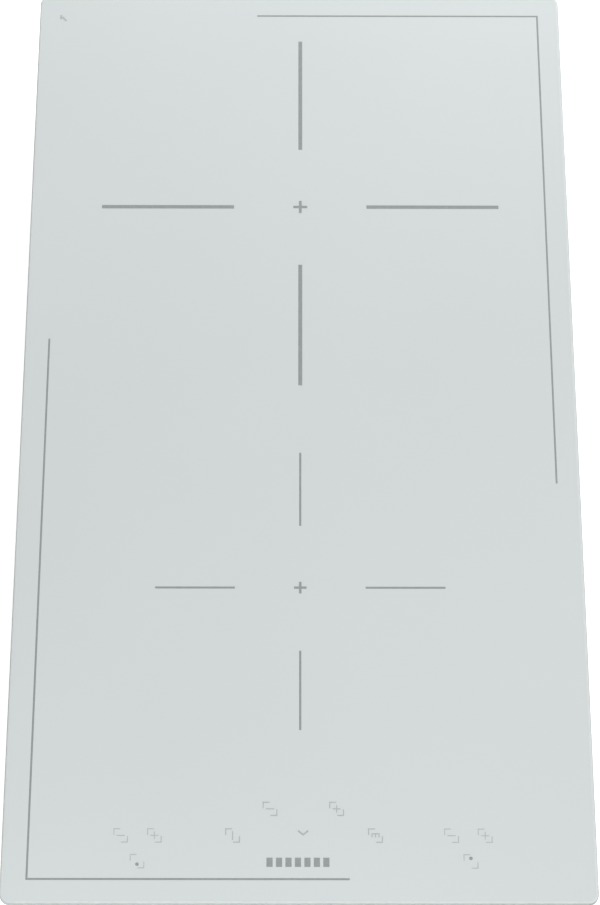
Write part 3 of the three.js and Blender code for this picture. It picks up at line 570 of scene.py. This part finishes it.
class Print:
    """Flat marks printed on the glass, gathered in one thin mesh."""

    def __init__(self):
        self.bm = bmesh.new()

    def slab(self, points):
        prism(self.bm, points, (GLASS_TOP, GLASS_TOP + INK))

    def bar(self, x0, y0, x1, y1):
        self.slab([(x0, y0), (x1, y0), (x1, y1), (x0, y1)])

    def across(self, x, y, length, width):
        self.bar(x - length / 2, y - width / 2, x + length / 2, y + width / 2)

    def upright(self, x, y, length, width):
        self.across(x, y, width, length)

    def strip(self, points, width):
        """A band of even width through points, mitred where it turns."""
        line = [Vector(p) for p in points]
        ways = [(b - a).normalized() for a, b in zip(line, line[1:])]
        edges = ([], [])
        for i, point in enumerate(line):
            before = ways[max(i - 1, 0)]
            after = ways[min(i, len(ways) - 1)]
            along = (before + after).normalized()
            reach = width / 2 / along.dot(after)
            side = Vector((-along.y, along.x)) * reach
            edges[0].append(point + side)
            edges[1].append(point - side)
        self.slab(edges[1] + edges[0][::-1])

    def disc(self, x, y, radius):
        self.slab(arc((x, y), radius, 0, 360, 24)[:-1])

    def finish(self, name, material):
        piece_from(name, self.bm, material)


def zone_marks(name, centre, arms, width):
    """Four arms about a zone's centre."""
    marks = Print()
    for way, ends in arms.items():
        inner, outer = (distance * MM for distance in ends)
        middle = (inner + outer) / 2
        if way == "side":
            for side in (-1, 1):
                marks.across(PRINT_X + side * middle, centre, outer - inner, width)
        else:
            away = middle if way == "rear" else -middle
            marks.upright(PRINT_X, centre + away, outer - inner, width)
    marks.finish(f"{name}_zone_marks", "zone_ink")


def plain_cross(marks, x, y, size, line):
    """A plus sign in three pieces that don't overlap."""
    marks.across(x, y, size, line)
    arm = (size - line) / 2
    for side in (-1, 1):
        marks.upright(x, y + side * (line + arm) / 2, arm, line)


def centre_cross(name, centre, size):
    """A plain cross at a zone's centre."""
    marks = Print()
    plain_cross(marks, PRINT_X, centre, size, 0.2 * size)
    marks.finish(f"{name}_centre_cross", "zone_ink")


def frame_marks():
    """Two thin corner lines, at the rear right and the front left."""
    left, right = -132.1 * MM, 132.85 * MM
    front, rear = -247.8 * MM, 247 * MM
    rear_end, right_end = -23.6 * MM, -38.3 * MM
    front_end, left_end = 24.5 * MM, 44.9 * MM
    rear_line, front_line = 0.95 * MM, 1 * MM
    marks = Print()
    marks.strip([(rear_end, rear), (right, rear), (right, right_end)], rear_line)
    marks.strip([(front_end, front), (left, front), (left, left_end)], front_line)
    marks.finish("frame_marks", "zone_ink")


def corner_tick():
    """A small plain tick near the rear left corner."""
    marks = Print()
    x, y = -133.1 * MM, 246 * MM
    line, length = 1.1 * MM, 2.8 * MM
    marks.upright(x, y, length, line)
    marks.strip([(x + 0.8 * MM, y), (x + 3 * MM, y - 2.6 * MM)], line)
    marks.finish("corner_tick", "key_ink")


KEY = 3.35 * MM  # half the size of a key's corner brackets
KEY_ARM = 3.1 * MM
KEY_SIGN = 4 * MM
KEY_LINE = 0.42 * MM
BOLD_LINE = 0.55 * MM  # of the keys in the middle
KEY_ROW = -226 * MM
MIDDLE_ROW = -212.5 * MM
SELECT_ROW = -238.9 * MM
PAIRS = (
    ((-87.05, -70.6), KEY_ROW, KEY_LINE),
    ((-14.3, 18.3), MIDDLE_ROW, BOLD_LINE),
    ((74.3, 90.7), KEY_ROW, KEY_LINE),
)
SELECT_KEYS = ((-78.75, -1.5), (83.45, 1.5))  # place across, and its dot's offset
LOCK_KEY = -32.5 * MM
PAUSE_KEY = 37.2 * MM
COMB_BEHIND = 0.9 * MM  # the comb's bar stands this far behind its key's centre
CHEVRON = (1.9 * MM, -224.55 * MM)


def key_brackets(marks, x, y, line):
    """Corners at the rear left and front right of a key."""
    for side in (-1, 1):
        corner = Vector((x + side * KEY, y - side * KEY))
        inwards = Vector((-side * KEY_ARM, 0))
        upwards = Vector((0, side * KEY_ARM))
        marks.strip([corner + inwards, corner, corner + upwards], line)


def comb_sign(marks, x, y, line):
    """A short bar with three teeth."""
    marks.across(x, y, KEY_SIGN, line)
    tooth = 1.5 * MM
    for side in (-1, 0, 1):
        spot = x + side * (KEY_SIGN - line) / 2
        marks.upright(spot, y - (line + tooth) / 2, tooth, line)


def chevron(marks, x, y):
    """A broad point towards the user."""
    half, rise, line = 2.5 * MM, 1 * MM, 0.85 * MM
    marks.strip([(x - half, y + rise), (x, y - rise), (x + half, y + rise)], line)


def touch_keys():
    """Symbols along the front: three minus and plus pairs, and four other keys."""
    marks = Print()
    for (minus, plus), y, line in PAIRS:
        for x in (minus * MM, plus * MM):
            key_brackets(marks, x, y, line)
        marks.across(minus * MM, y, KEY_SIGN, line)
        plain_cross(marks, plus * MM, y, KEY_SIGN, line)
    for x in (LOCK_KEY, PAUSE_KEY):
        key_brackets(marks, x, KEY_ROW, BOLD_LINE)
    marks.upright(LOCK_KEY, KEY_ROW, 1.1 * KEY_SIGN, BOLD_LINE)
    comb_sign(marks, PAUSE_KEY, KEY_ROW + COMB_BEHIND, BOLD_LINE)
    for x, _ in SELECT_KEYS:
        key_brackets(marks, x * MM, SELECT_ROW, KEY_LINE)
    chevron(marks, *CHEVRON)
    marks.finish("touch_key_marks", "key_ink")


def select_dots():
    """A dot in each of the two selection keys."""
    marks = Print()
    radius = 0.9 * MM
    for x, offset in SELECT_KEYS:
        marks.disc(x * MM, SELECT_ROW + offset * MM, radius)
    marks.finish("select_key_dots", "zone_ink")


def plain_blocks():
    """A row of equal blocks in the middle of the front edge, in place of any lettering."""
    marks = Print()
    count = 7
    length, gap, height = 3 * MM, 1.6 * MM, 4.6 * MM
    left_of_middle, row = 0.6 * MM, -239.4 * MM
    for i in range(count):
        x = (i - (count - 1) / 2) * (length + gap) - left_of_middle
        marks.across(x, row, length, height)
    marks.finish("plain_front_blocks", "zone_ink")


def printed_marks():
    """Everything that is printed on the glass."""
    zone_marks("rear", REAR_ZONE, REAR_ARMS, 2.1 * MM)
    zone_marks("front", FRONT_ZONE, FRONT_ARMS, 1.1 * MM)
    centre_cross("rear", REAR_ZONE, 7.6 * MM)
    centre_cross("front", FRONT_ZONE, 6.4 * MM)
    frame_marks()
    corner_tick()
    touch_keys()
    select_dots()
    plain_blocks()


# ---------------------------------------------------------------- casing tray

TRAY_LOW, TRAY_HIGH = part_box("casing_tray")
TRAY_BOTTOM = TRAY_LOW.z + 1 * MM  # the feet are pressed 1 mm below the floor
FOOT_X = 104 * MM
FOOT_ROWS = (-168 * MM, 0, 172 * MM)
# (distance from a foot's centre, height above its sole)
FOOT = ((0, 0), (6.02, 0), (6.6, 0.14), (7.6, 0.52), (8.75, 0.92), (9.6, 1.03), (9.6, 1.4), (0, 1.4))
BEADS = ((-70, -160, 125), (70, -160, 125), (0, 20, 125))  # place across, front end, rear end
INTAKE = middle_of("blower_impeller")
CHAMBER = middle_of("terminal_box")
LUG_REACH = 2 * MM  # the clip lugs stand this far out of the walls
WALL_X = TRAY_HIGH.x - LUG_REACH


def folded_edges(bm):
    """The edges where the tray's walls fold up from its floor."""
    same_height, near_wall = 0.01 * MM, 5 * MM
    chosen = []
    for edge in bm.edges:
        if any(abs(vert.co.z - TRAY_BOTTOM) > same_height for vert in edge.verts):
            continue
        upright = [face for face in edge.link_faces if abs(face.normal.z) < 0.1]
        below = [face for face in edge.link_faces if face.normal.z < -0.9]
        middle = (edge.verts[0].co + edge.verts[1].co) / 2
        outer = abs(middle.x) > WALL_X - near_wall or abs(middle.y) > TRAY_HIGH.y - near_wall
        if upright and below and outer and middle.xy.dot(upright[0].normal.xy) > 0:
            chosen.append(edge)
    return chosen


def pressed_feet(bm):
    """Round feet with an easy slope, over the faceted ones of the frame."""
    profile = [(radius * MM, height * MM) for radius, height in FOOT]
    for y in FOOT_ROWS:
        for x in (-FOOT_X, FOOT_X):
            turned(bm, profile, 48, placed(x, y, TRAY_LOW.z))


def stiffening_beads(bm):
    """Long swages pressed down out of the floor."""
    half, shoulder, flat = 4.5 * MM, 2.2 * MM, 0.01 * MM
    # (share of the shoulder inwards, height from the floor's underside)
    section = ((1, -0.7), (0.55, -0.62), (0.25, -0.2), (0, 0.02), (0, 0.4))
    for x, start, end in BEADS:
        centre = (x * MM, (start + end) / 2 * MM)
        length = (end - start) / 2 * MM
        rings = []
        for share, height in section:
            inset = share * shoulder
            wide = half - inset
            loop = rounded_loop(wide, length - inset, wide - flat, 8, centre)
            rings.append(loop_at(bm, loop, TRAY_BOTTOM + height * MM))
        close_stack(bm, rings)


def casing_tray():
    """The folded tray, with round feet and beads pressed down out of its floor."""
    fold, burr, foot_clearance = 1.4 * MM, 0.12 * MM, 0.05 * MM
    bm = copy_of("casing_tray")
    round_edges(bm, folded_edges(bm), fold, 4)
    round_edges(bm, sharp_edges(bm), burr)
    for vert in bm.verts:
        # The round feet's soles stay lowest.
        vert.co.z = max(vert.co.z, TRAY_LOW.z + foot_clearance)
    pressings = bmesh.new()
    pressed_feet(pressings)
    stiffening_beads(pressings)
    joined_for("casing_tray", bm, pressings)


# ---------------------------------------------------------------- screws

DOWNWARDS = Matrix.Rotation(math.pi, 4, "X")
# Each screw's head radius, head height, shank radius and shank length.
CASE_SCREW = (3.6 * MM, 2.2 * MM, 1.8 * MM, 6 * MM)
FLOOR_SCREW = (3.8 * MM, 0.95 * MM, 0.5 * MM, 0.4 * MM)
TERMINAL_SCREW = (2.2 * MM, 1.5 * MM, 1.4 * MM, 1.5 * MM)
CLAMP_SCREW = (2.8 * MM, 1.8 * MM, 0.8 * MM, 0.5 * MM)
SUNK = 0.02 * MM  # screw heads and the rating plate reach this far into the face they are on
LEG_SCREWS = ((114, -116), (114, 108), (113.5, -150), (113.5, 150), (114, -206))  # on both sides
POST_SCREWS = ((62, 220), (27.4, 160), (96.6, 160))


def screw(bm, place, radius, height, shank, length):
    """A low domed head on the plane Z = 0 of `place`, with a cross recess, and its shank below."""
    profile = [(0, -length - shank), (shank, -length), (shank, 0), (radius, 0)]
    profile += [(radius, 0.4 * height), (0.93 * radius, 0.75 * height), (0.72 * radius, height)]
    rings = rings_about(bm, profile, 24, place)
    for lower, upper in zip(rings, rings[1:]):
        bridge(bm, lower, upper)
    cross_recess(bm, place, rings[-1], radius, height)


def cross_recess(bm, place, rim, radius, height):
    """Closes a screw's head with a tapering cross sunk into it."""
    arm, half = 0.52 * radius, 0.14 * radius
    floor_height, taper = 0.35 * height, 0.75
    corner = ((arm, -half, 0), (arm, half, 0), (half, half, 0))
    outline = []
    for quarter in range(4):
        turn = Matrix.Rotation(math.tau * quarter / 4, 4, "Z")
        outline += [turn @ Vector(point) for point in corner]
    top, low = Vector((0, 0, height)), Vector((0, 0, floor_height))
    mouth = [bm.verts.new(place @ (point + top)) for point in outline]
    bottom = [bm.verts.new(place @ (taper * point + low)) for point in outline]
    bridge(bm, mouth, bottom)
    bm.faces.new(bottom)
    edges = [bm.edges.get(pair) for ring in (rim, mouth) for pair in zip(ring, ring[1:] + ring[:1])]
    bmesh.ops.triangle_fill(bm, use_beauty=True, edges=edges)


def case_screws():
    """Pan-head screws through the side walls, with their recesses turned by different amounts."""
    for end in ("rear", "front"):
        for side, way in (("right", 1), ("left", -1)):
            node = f"case_screw_{end}_{side}"
            low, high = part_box(node)
            centre = (low + high) / 2
            head_height = CASE_SCREW[1]
            seat = (high.x if way > 0 else low.x) - way * head_height
            tightened = Matrix.Rotation(centre.y * 90, 4, "Z")  # a different angle at each place
            outwards = Matrix.Rotation(way * math.pi / 2, 4, "Y") @ tightened
            bm = bmesh.new()
            screw(bm, placed(seat, centre.y, centre.z, outwards), *CASE_SCREW)
            standing_for(node, bm)


def floor_screws():
    """Flat screws from below, one under each leg and post that stands on the tray's floor."""
    spots = [(side * x, y) for side in (1, -1) for x, y in LEG_SCREWS] + list(POST_SCREWS)
    bm = bmesh.new()
    for i, (x, y) in enumerate(spots):
        turn = DOWNWARDS @ Matrix.Rotation(i * 0.9, 4, "Z")
        screw(bm, placed(x * MM, y * MM, TRAY_BOTTOM + SUNK, turn), *FLOOR_SCREW)
    piece_from("floor_screws", bm, "spring_steel")


def rating_plate():
    """A blank film where such an appliance has its data. Nothing is written on it."""
    half_length, half_width, corner = 50 * MM, 30 * MM, 3 * MM
    thickness, centre = 0.15 * MM, (0, -60 * MM)
    loop = rounded_loop(half_length, half_width, corner, 6, centre)
    bm = bmesh.new()
    prism(bm, loop, (TRAY_BOTTOM - thickness, TRAY_BOTTOM + SUNK))
    piece_from("blank_rating_plate", bm, "blank_label")


# ---------------------------------------------------------------- worktop clips

CLIP_LINE = ((1.1, 20.3), (5.1, 34.2), (5.1, 37.8), (3.6, 43))  # (distance from the wall, height)
CLIP_SHEET = 0.8 * MM
CLIP_HALF = 8.5 * MM
CLIP_ROLL = 0.6 * MM  # radius of the rolled foot
CLIP_ROUND = 2.5 * MM  # radius of the tip's corners
CLIP_BEND = 1.5 * MM  # each bend starts and ends this far from its corner
CLIP_EDGE = 0.12 * MM  # chamfer along the leaf's edges


def eased(points, reach):
    """The points of a line with each bend drawn as a smooth curve."""
    steps = 5
    line = [Vector(point) for point in points]
    route = [line[0]]
    for before, bend, after in zip(line, line[1:], line[2:]):
        start = bend + (before - bend).normalized() * reach
        end = bend + (after - bend).normalized() * reach
        route += [bent(start, bend, end, i / steps)[0] for i in range(steps + 1)]
    return route + [line[-1]]


def along(route, distance):
    """The point and the direction at a distance along a route."""
    for start, end in zip(route, route[1:]):
        length = (end - start).length
        if distance <= length or end is route[-1]:
            way = (end - start).normalized()
            return start + way * distance, way
        distance -= length


def leaf_width(to_tip):
    """Half the leaf's width, less at the tip's round corners."""
    if to_tip >= CLIP_ROUND:
        return CLIP_HALF
    return CLIP_HALF - CLIP_ROUND + math.sqrt(CLIP_ROUND**2 - (CLIP_ROUND - to_tip) ** 2)


def leaf_thickness(from_foot):
    """Half the leaf's thickness, more at the rolled foot."""
    roll = math.sqrt(max(CLIP_ROLL**2 - (from_foot - CLIP_ROLL) ** 2, 0))
    plain = CLIP_SHEET / 2 if from_foot > CLIP_ROLL else 0.1 * MM
    return max(roll, plain)


def leaf_section(wide, thick):
    """Corners of the leaf's section, a rectangle with its edges chamfered."""
    cut = min(CLIP_EDGE, thick / 2)
    corners = []
    for a, b in ((1, 1), (-1, 1), (-1, -1), (1, -1)):
        pair = [(a * (wide - cut), b * thick), (a * wide, b * (thick - cut))]
        corners += pair[::-1] if a * b > 0 else pair
    return corners


def leaf_stations(total):
    """Distances along the leaf where it has a section, closest at its foot and its tip."""
    at_foot, between, at_tip = 8, 40, 6
    rolled = [CLIP_ROLL * (1 - math.cos(math.pi * i / at_foot)) for i in range(at_foot - 1)]
    rounded = [
        total - CLIP_ROUND * (1 - math.sin(math.pi / 2 * i / at_tip)) for i in range(at_tip + 1)
    ]
    start = 2 * CLIP_ROLL
    even = [start + i * (rounded[0] - start) / between for i in range(between)]
    return rolled + even + rounded


def side_clip(node, way):
    """A spring leaf, bent from sheet: rolled foot, flat pad and a tip that turns back in."""
    route = eased([(x * MM, z * MM) for x, z in CLIP_LINE], CLIP_BEND)
    route[0] = route[0] - (route[1] - route[0]).normalized() * CLIP_ROLL
    total = sum((b - a).length for a, b in zip(route, route[1:]))
    middle_y = middle_of(node).y
    bm = bmesh.new()
    rings = []
    for distance in leaf_stations(total):
        point, heading = along(route, distance)
        outwards = Vector((heading.y, -heading.x))
        ring = []
        for across, out in leaf_section(leaf_width(total - distance), leaf_thickness(distance)):
            spot = point + outwards * out
            ring.append(bm.verts.new((way * (WALL_X + spot.x), middle_y + across, spot.y)))
        rings.append(ring)
    close_stack(bm, rings)
    standing_for(node, bm)


# ---------------------------------------------------------------- mains connection chamber


def cable_grommet():
    """Moulded grommet in the rear wall: a sleeve through it and a round collar outside."""
    low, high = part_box("cable_grommet")
    centre = (low + high) / 2
    bore, sleeve, collar = 5.2 * MM, 6.7 * MM, 9.5 * MM  # radii
    face, wall = high.y, high.y - 2.4 * MM
    edge, shoulder, lip = 0.3 * MM, 1.4 * MM, 1.2 * MM
    profile = [(bore, low.y + 0.8 * MM), (bore + 0.6 * MM, low.y), (sleeve, low.y), (sleeve, wall)]
    profile += [(collar - edge, wall), (collar, wall + edge)]
    profile += arc((collar - shoulder, face - shoulder), shoulder, 0, 90, 6)
    profile += arc((bore + lip, face - lip), lip, 90, 180, 6)
    backwards = Matrix.Rotation(-math.pi / 2, 4, "X")
    bm = bmesh.new()
    turned(bm, profile, 48, placed(centre.x, 0, centre.z, backwards))
    standing_for("cable_grommet", bm)


def terminal_lid():
    """The lid, with ridges for a finger near its free edge."""
    bm = copy_of("terminal_lid")
    round_edges(bm, sharp_edges(bm), 0.35 * MM, 3)
    low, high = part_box("terminal_lid")
    half_length, radius, sunk = 11 * MM, 0.45 * MM, 0.1 * MM
    ridges = bmesh.new()
    for i in range(5):
        y = high.y - (3 + 2 * i) * MM
        ends = (CHAMBER.x - half_length, CHAMBER.x + half_length)
        tube(ridges, [Vector((x, y, low.z + sunk)) for x in ends], radius, 12)
    joined_for("terminal_lid", bm, ridges)


def chamber_screws():
    """Clamping screws of the terminal block's five poles, and the two of the cable clamp."""
    low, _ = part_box("terminal_block")
    pole_pitch, from_front, recess = 8.4 * MM, 10 * MM, 4 * MM
    bm = bmesh.new()
    for pole in range(-2, 3):
        x = CHAMBER.x + pole * pole_pitch
        screw(bm, placed(x, low.y + from_front, low.z + recess, DOWNWARDS), *TERMINAL_SCREW)
    piece_from("terminal_screws", bm, "spring_steel")
    low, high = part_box("cable_clamp")
    half_pitch = 11 * MM
    bm = bmesh.new()
    for side in (-1, 1):
        x = CHAMBER.x + side * half_pitch
        screw(bm, placed(x, (low.y + high.y) / 2, low.z + SUNK, DOWNWARDS), *CLAMP_SCREW)
    piece_from("clamp_screws", bm, "spring_steel")


# ---------------------------------------------------------------- coils and choke

LITZ = 2.2 * MM  # radius of the wound cable
COIL_HOLE = 24 * MM  # radius inside the winding
SENSOR_HOLE = 8 * MM  # radius, in the mica


def coil_winding(node):
    """Litz cable wound in one flat spiral."""
    low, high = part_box(node)
    centre = (low + high) / 2
    inner, outer = COIL_HOLE + LITZ, (high.x - low.x) / 2 - LITZ
    pitch = 2.04 * LITZ
    turns = math.floor((outer - inner) / pitch)
    steps = 56
    route = []
    for i in range(turns * steps + 1):
        share = i / (turns * steps)
        angle = math.tau * share * turns
        radius = inner + (outer - inner) * share
        x = centre.x + radius * math.cos(angle)
        y = centre.y + radius * math.sin(angle)
        route.append(Vector((x, y, centre.z)))
    bm = bmesh.new()
    tube(bm, route, LITZ, 8)
    standing_for(node, bm)


def choke_turns():
    """Enamelled wire wound round the choke's core."""
    low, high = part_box("filter_choke")
    centre = (low + high) / 2
    hole, rise = 9 * MM, (high.z - low.z) / 2
    wire, clear, bend = 0.72 * MM, 0.2 * MM, 2.4 * MM  # the wire's radius, its gap and its bends
    near, far = hole - clear, (high.x - low.x) / 2 + clear
    loop = rounded_loop((far - near) / 2, rise + clear, bend, 5)
    count, gap = 24, 0.2
    bm = bmesh.new()
    for i in range(count):
        angle = math.tau * (i + 0.5) / count
        if abs(math.sin(angle)) < gap:
            continue  # two gaps keep the line and the neutral windings apart
        out = Vector((math.cos(angle), math.sin(angle), 0))
        route = [centre + out * ((near + far) / 2 + x) + Vector((0, 0, z)) for x, z in loop]
        tube(bm, route, wire, 6, closed=True)
    piece_from("choke_turns", bm, "copper")


def coil_former(node, ferrites, span):
    """The smooth spool of a coil, joined to the pairs of ribs that hold its ferrites below."""
    low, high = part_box(node)
    centre = (low + high) / 2
    radius, bottom, rim = (high.x - low.x) / 2, high.z - 5.7 * MM, high.z
    hub, wall, floor_top = 14 * MM, 2 * MM, bottom + 1.5 * MM
    profile = [(hub, bottom), (radius, bottom), (radius, rim), (radius - wall, rim)]
    profile += [(radius - wall, floor_top), (hub + wall, floor_top), (hub + wall, rim), (hub, rim)]
    bm = bmesh.new()
    turned(bm, profile, 128, placed(centre.x, centre.y, 0))
    round_edges(bm, sharp_edges(bm), 0.3 * MM)
    inner, outer = (distance * MM for distance in span)
    rib, thickness, overlap = 6.3 * MM, 1.4 * MM, 0.5 * MM
    ribs = bmesh.new()
    for i in range(ferrites):
        turn = Matrix.Rotation(math.tau * (i + 0.5) / ferrites, 4, "Z")
        for side in (-1, 1):
            near, far = sorted((side * rib, side * (rib + thickness)))
            outline = [(inner, near), (outer, near), (outer, far), (inner, far)]
            heights = (low.z, bottom + overlap)
            prism(ribs, outline, heights, placed(centre.x, centre.y, 0, turn))
    joined_for(node, bm, ribs)


def mica_disc(node):
    """A thin insulating disc over a coil, with a round hole for the sensor."""
    low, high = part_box(node)
    centre = (low + high) / 2
    radius, edge = (high.x - low.x) / 2, 0.15 * MM
    profile = [(SENSOR_HOLE, low.z), (radius - edge, low.z), (radius, low.z + edge)]
    profile += [(radius, high.z - edge), (radius - edge, high.z), (SENSOR_HOLE, high.z)]
    bm = bmesh.new()
    turned(bm, profile, 128, placed(centre.x, centre.y, 0))
    standing_for(node, bm)


# ---------------------------------------------------------------- blower

BLADES = 20
# The start, the bend and the end of a blade's line about the axis, in millimetres.
BLADE = (Vector((28.2, -2.26)), Vector((32.2, -0.9)), Vector((34.8, 2.26)))
BLADE_HALF = 0.6 * MM


def curved_vane(bm, place, low, high):
    """One blade of the impeller, bent forwards along its length."""
    steps = 8
    outline = ([], [])
    for i in range(steps + 1):
        point, way = bent(*BLADE, i / steps)
        side = Vector((-way.y, way.x)) * BLADE_HALF
        outline[0].append(point * MM + side)
        outline[1].append(point * MM - side)
    prism(bm, outline[1] + outline[0][::-1], (low, high), place)


def blower_impeller():
    """The impeller: a cup over the motor, a back plate, an inlet ring and twenty curved blades."""
    node = "blower_impeller"
    low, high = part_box(node)
    radius = (high.x - low.x) / 2
    hub, cup, eye = 15.2 * MM, 13.6 * MM, radius - 4 * MM
    under, over = 12.5 * MM, 14.5 * MM  # the two faces of the cup's end
    plate, ring_top = high.z - 1.5 * MM, low.z + 1.6 * MM
    profile = [(0, under), (hub, under), (hub, plate), (radius, plate), (radius, high.z)]
    profile += [(cup, high.z), (cup, over), (0, over)]
    ring = [(eye, low.z), (radius, low.z), (radius, ring_top), (eye, ring_top)]
    centre = placed(INTAKE.x, INTAKE.y, 0)
    bm = bmesh.new()
    turned(bm, profile, 64, centre)
    turned(bm, ring, 64, centre)
    round_edges(bm, sharp_edges(bm), 0.25 * MM)
    blade_low, blade_high = low.z + 0.8 * MM, high.z - 1 * MM
    vanes = bmesh.new()
    for i in range(BLADES):
        turn = Matrix.Rotation(math.tau * i / BLADES, 4, "Z")
        curved_vane(vanes, centre @ turn, blade_low, blade_high)
    joined_for(node, bm, vanes)


# ---------------------------------------------------------------- camera, floor and light

PITCH = math.radians(65.627)  # downwards
ROLL = math.radians(-0.4256)
YAW = math.radians(0.3822)  # to the right
EYE = (-3.52 * MM, -603.86 * MM, GLASS_HIGH.z + 1286.64 * MM)
SENSOR = 36  # in millimetres, as Blender takes them
LENS = 108.334  # long enough for the panel to fill the view


def camera():
    """The viewing angle: above the user's side, looking down at the panel's middle."""
    view = bpy.data.cameras.new("camera")
    eye = linked("camera", view)
    flat = math.cos(PITCH)
    ahead = Vector((math.sin(YAW) * flat, math.cos(YAW) * flat, -math.sin(PITCH)))
    level = Vector((math.cos(YAW), -math.sin(YAW), 0))
    down = ahead.cross(level)
    right = math.cos(ROLL) * level + math.sin(ROLL) * down
    up = math.sin(ROLL) * level - math.cos(ROLL) * down
    turn = Matrix((right, up, -ahead)).transposed().to_4x4()
    eye.matrix_world = placed(*EYE, turn)
    view.sensor_width = SENSOR
    view.lens = LENS
    bpy.context.scene.camera = eye


def floor():
    """A pale floor that is clear when seen from below, so that the underside shows."""
    bm = bmesh.new()
    bmesh.ops.create_grid(bm, x_segments=8, y_segments=8, size=2.5)
    mesh = bpy.data.meshes.new("floor")
    bm.to_mesh(mesh)
    bm.free()
    plane = linked("floor", mesh)
    plane.visible_diffuse = False
    plane.visible_glossy = False
    plane.visible_shadow = False
    material = bpy.data.materials.new("floor")
    material.use_nodes = True
    nodes = material.node_tree.nodes
    shader = nodes["Principled BSDF"]
    shader.inputs["Base Color"].default_value = (0.9, 0.9, 0.9, 1)
    shader.inputs["Roughness"].default_value = 1.0
    shader.inputs["Specular IOR Level"].default_value = 0.0
    shader.inputs["Emission Color"].default_value = (1, 1, 1, 1)
    shader.inputs["Emission Strength"].default_value = 0.42
    side = nodes.new("ShaderNodeNewGeometry")
    clear = nodes.new("ShaderNodeBsdfTransparent")
    mix = nodes.new("ShaderNodeMixShader")
    links = material.node_tree.links
    links.new(side.outputs["Backfacing"], mix.inputs["Fac"])
    links.new(shader.outputs["BSDF"], mix.inputs[1])
    links.new(clear.outputs["BSDF"], mix.inputs[2])
    links.new(mix.outputs["Shader"], nodes["Material Output"].inputs["Surface"])
    mesh.materials.append(material)


def area_light(name, place, aim, size, power, mirrored=True):
    """A soft lamp of a given width and height, turned towards a point."""
    data = bpy.data.lights.new(name, "AREA")
    data.shape = "RECTANGLE"
    data.size, data.size_y = size
    data.energy = power
    lamp = linked(name, data)
    lamp.visible_camera = False
    lamp.visible_glossy = mirrored
    lamp.location = place
    lamp.rotation_mode = "QUATERNION"
    lamp.rotation_quaternion = (Vector(aim) - Vector(place)).to_track_quat("-Z", "Y")


def surround():
    """An even pale surround, dimmer from below, that looks white behind the object."""
    world = bpy.data.worlds.new("surround")
    bpy.context.scene.world = world
    world.use_nodes = True
    nodes, links = world.node_tree.nodes, world.node_tree.links
    split = nodes.new("ShaderNodeSeparateXYZ")
    links.new(nodes.new("ShaderNodeTexCoord").outputs["Generated"], split.inputs["Vector"])
    height = nodes.new("ShaderNodeMapRange")
    for socket, value in (("From Min", -0.35), ("From Max", 0.1), ("To Min", 0.36), ("To Max", 0.8)):
        height.inputs[socket].default_value = value
    links.new(split.outputs["Z"], height.inputs["Value"])
    even, white = nodes.new("ShaderNodeBackground"), nodes.new("ShaderNodeBackground")
    for tone in (even, white):
        tone.inputs["Color"].default_value = (1, 1, 1, 1)
    links.new(height.outputs["Result"], even.inputs["Strength"])
    mix = nodes.new("ShaderNodeMixShader")
    links.new(nodes.new("ShaderNodeLightPath").outputs["Is Camera Ray"], mix.inputs["Fac"])
    links.new(even.outputs["Background"], mix.inputs[1])
    links.new(white.outputs["Background"], mix.inputs[2])
    links.new(mix.outputs["Shader"], nodes["World Output"].inputs["Surface"])


def light():
    """Soft studio light: large lamps above, and weaker ones low at each end and below."""
    surround()
    area_light("right_above", (1.2, -0.9, 2.4), (0, 0, 0), (1.8, 1.8), 14)
    area_light("right_behind", (1.9, 0.5, 2.2), (0, 0, 0), (2, 2), 33)
    area_light("rear_sheet", (0.2, 2.25, 1.5), (0, 0.2, 0), (3.4, 1.3), 27)
    area_light("rear_end", (0.1, 0.62, 0.12), (0, 0.26, 0.05), (0.5, 0.06), 2, mirrored=False)
    area_light("front_end", (-0.05, -0.45, 0.16), (0, -0.26, 0.05), (0.4, 0.08), 0.24, mirrored=False)
    area_light("front_low", (0, -2.4, 0.3), (0, 0, 0), (1.6, 0.8), 30, mirrored=False)
    area_light("below_left", (-1.4, -1.2, -1.1), (0, 0, 0), (1.6, 1.2), 20)
    area_light("below_behind", (1.1, 1.3, -1.1), (0, 0, 0), (1.6, 1.2), 9)
    bpy.context.scene.view_settings.view_transform = "Standard"


# ---------------------------------------------------------------- assembly

camera()
floor()
light()
glass_panel()
printed_marks()
casing_tray()
case_screws()
floor_screws()
rating_plate()
for end in ("rear", "front"):
    for side, way in (("right", 1), ("left", -1)):
        side_clip(f"side_clip_{end}_{side}", way)
cable_grommet()
terminal_lid()
chamber_screws()
for end, ferrites, span in (("rear", 6, (30, 88)), ("front", 4, (22, 60))):
    coil_former(f"{end}_coil_former", ferrites, span)
    coil_winding(f"{end}_coil_winding")
    mica_disc(f"{end}_mica_disc")
choke_turns()
blower_impeller()
for node, plain in frame["nodes"].items():
    if not plain.hide_render:
        softened(node, 0.15 * MM)
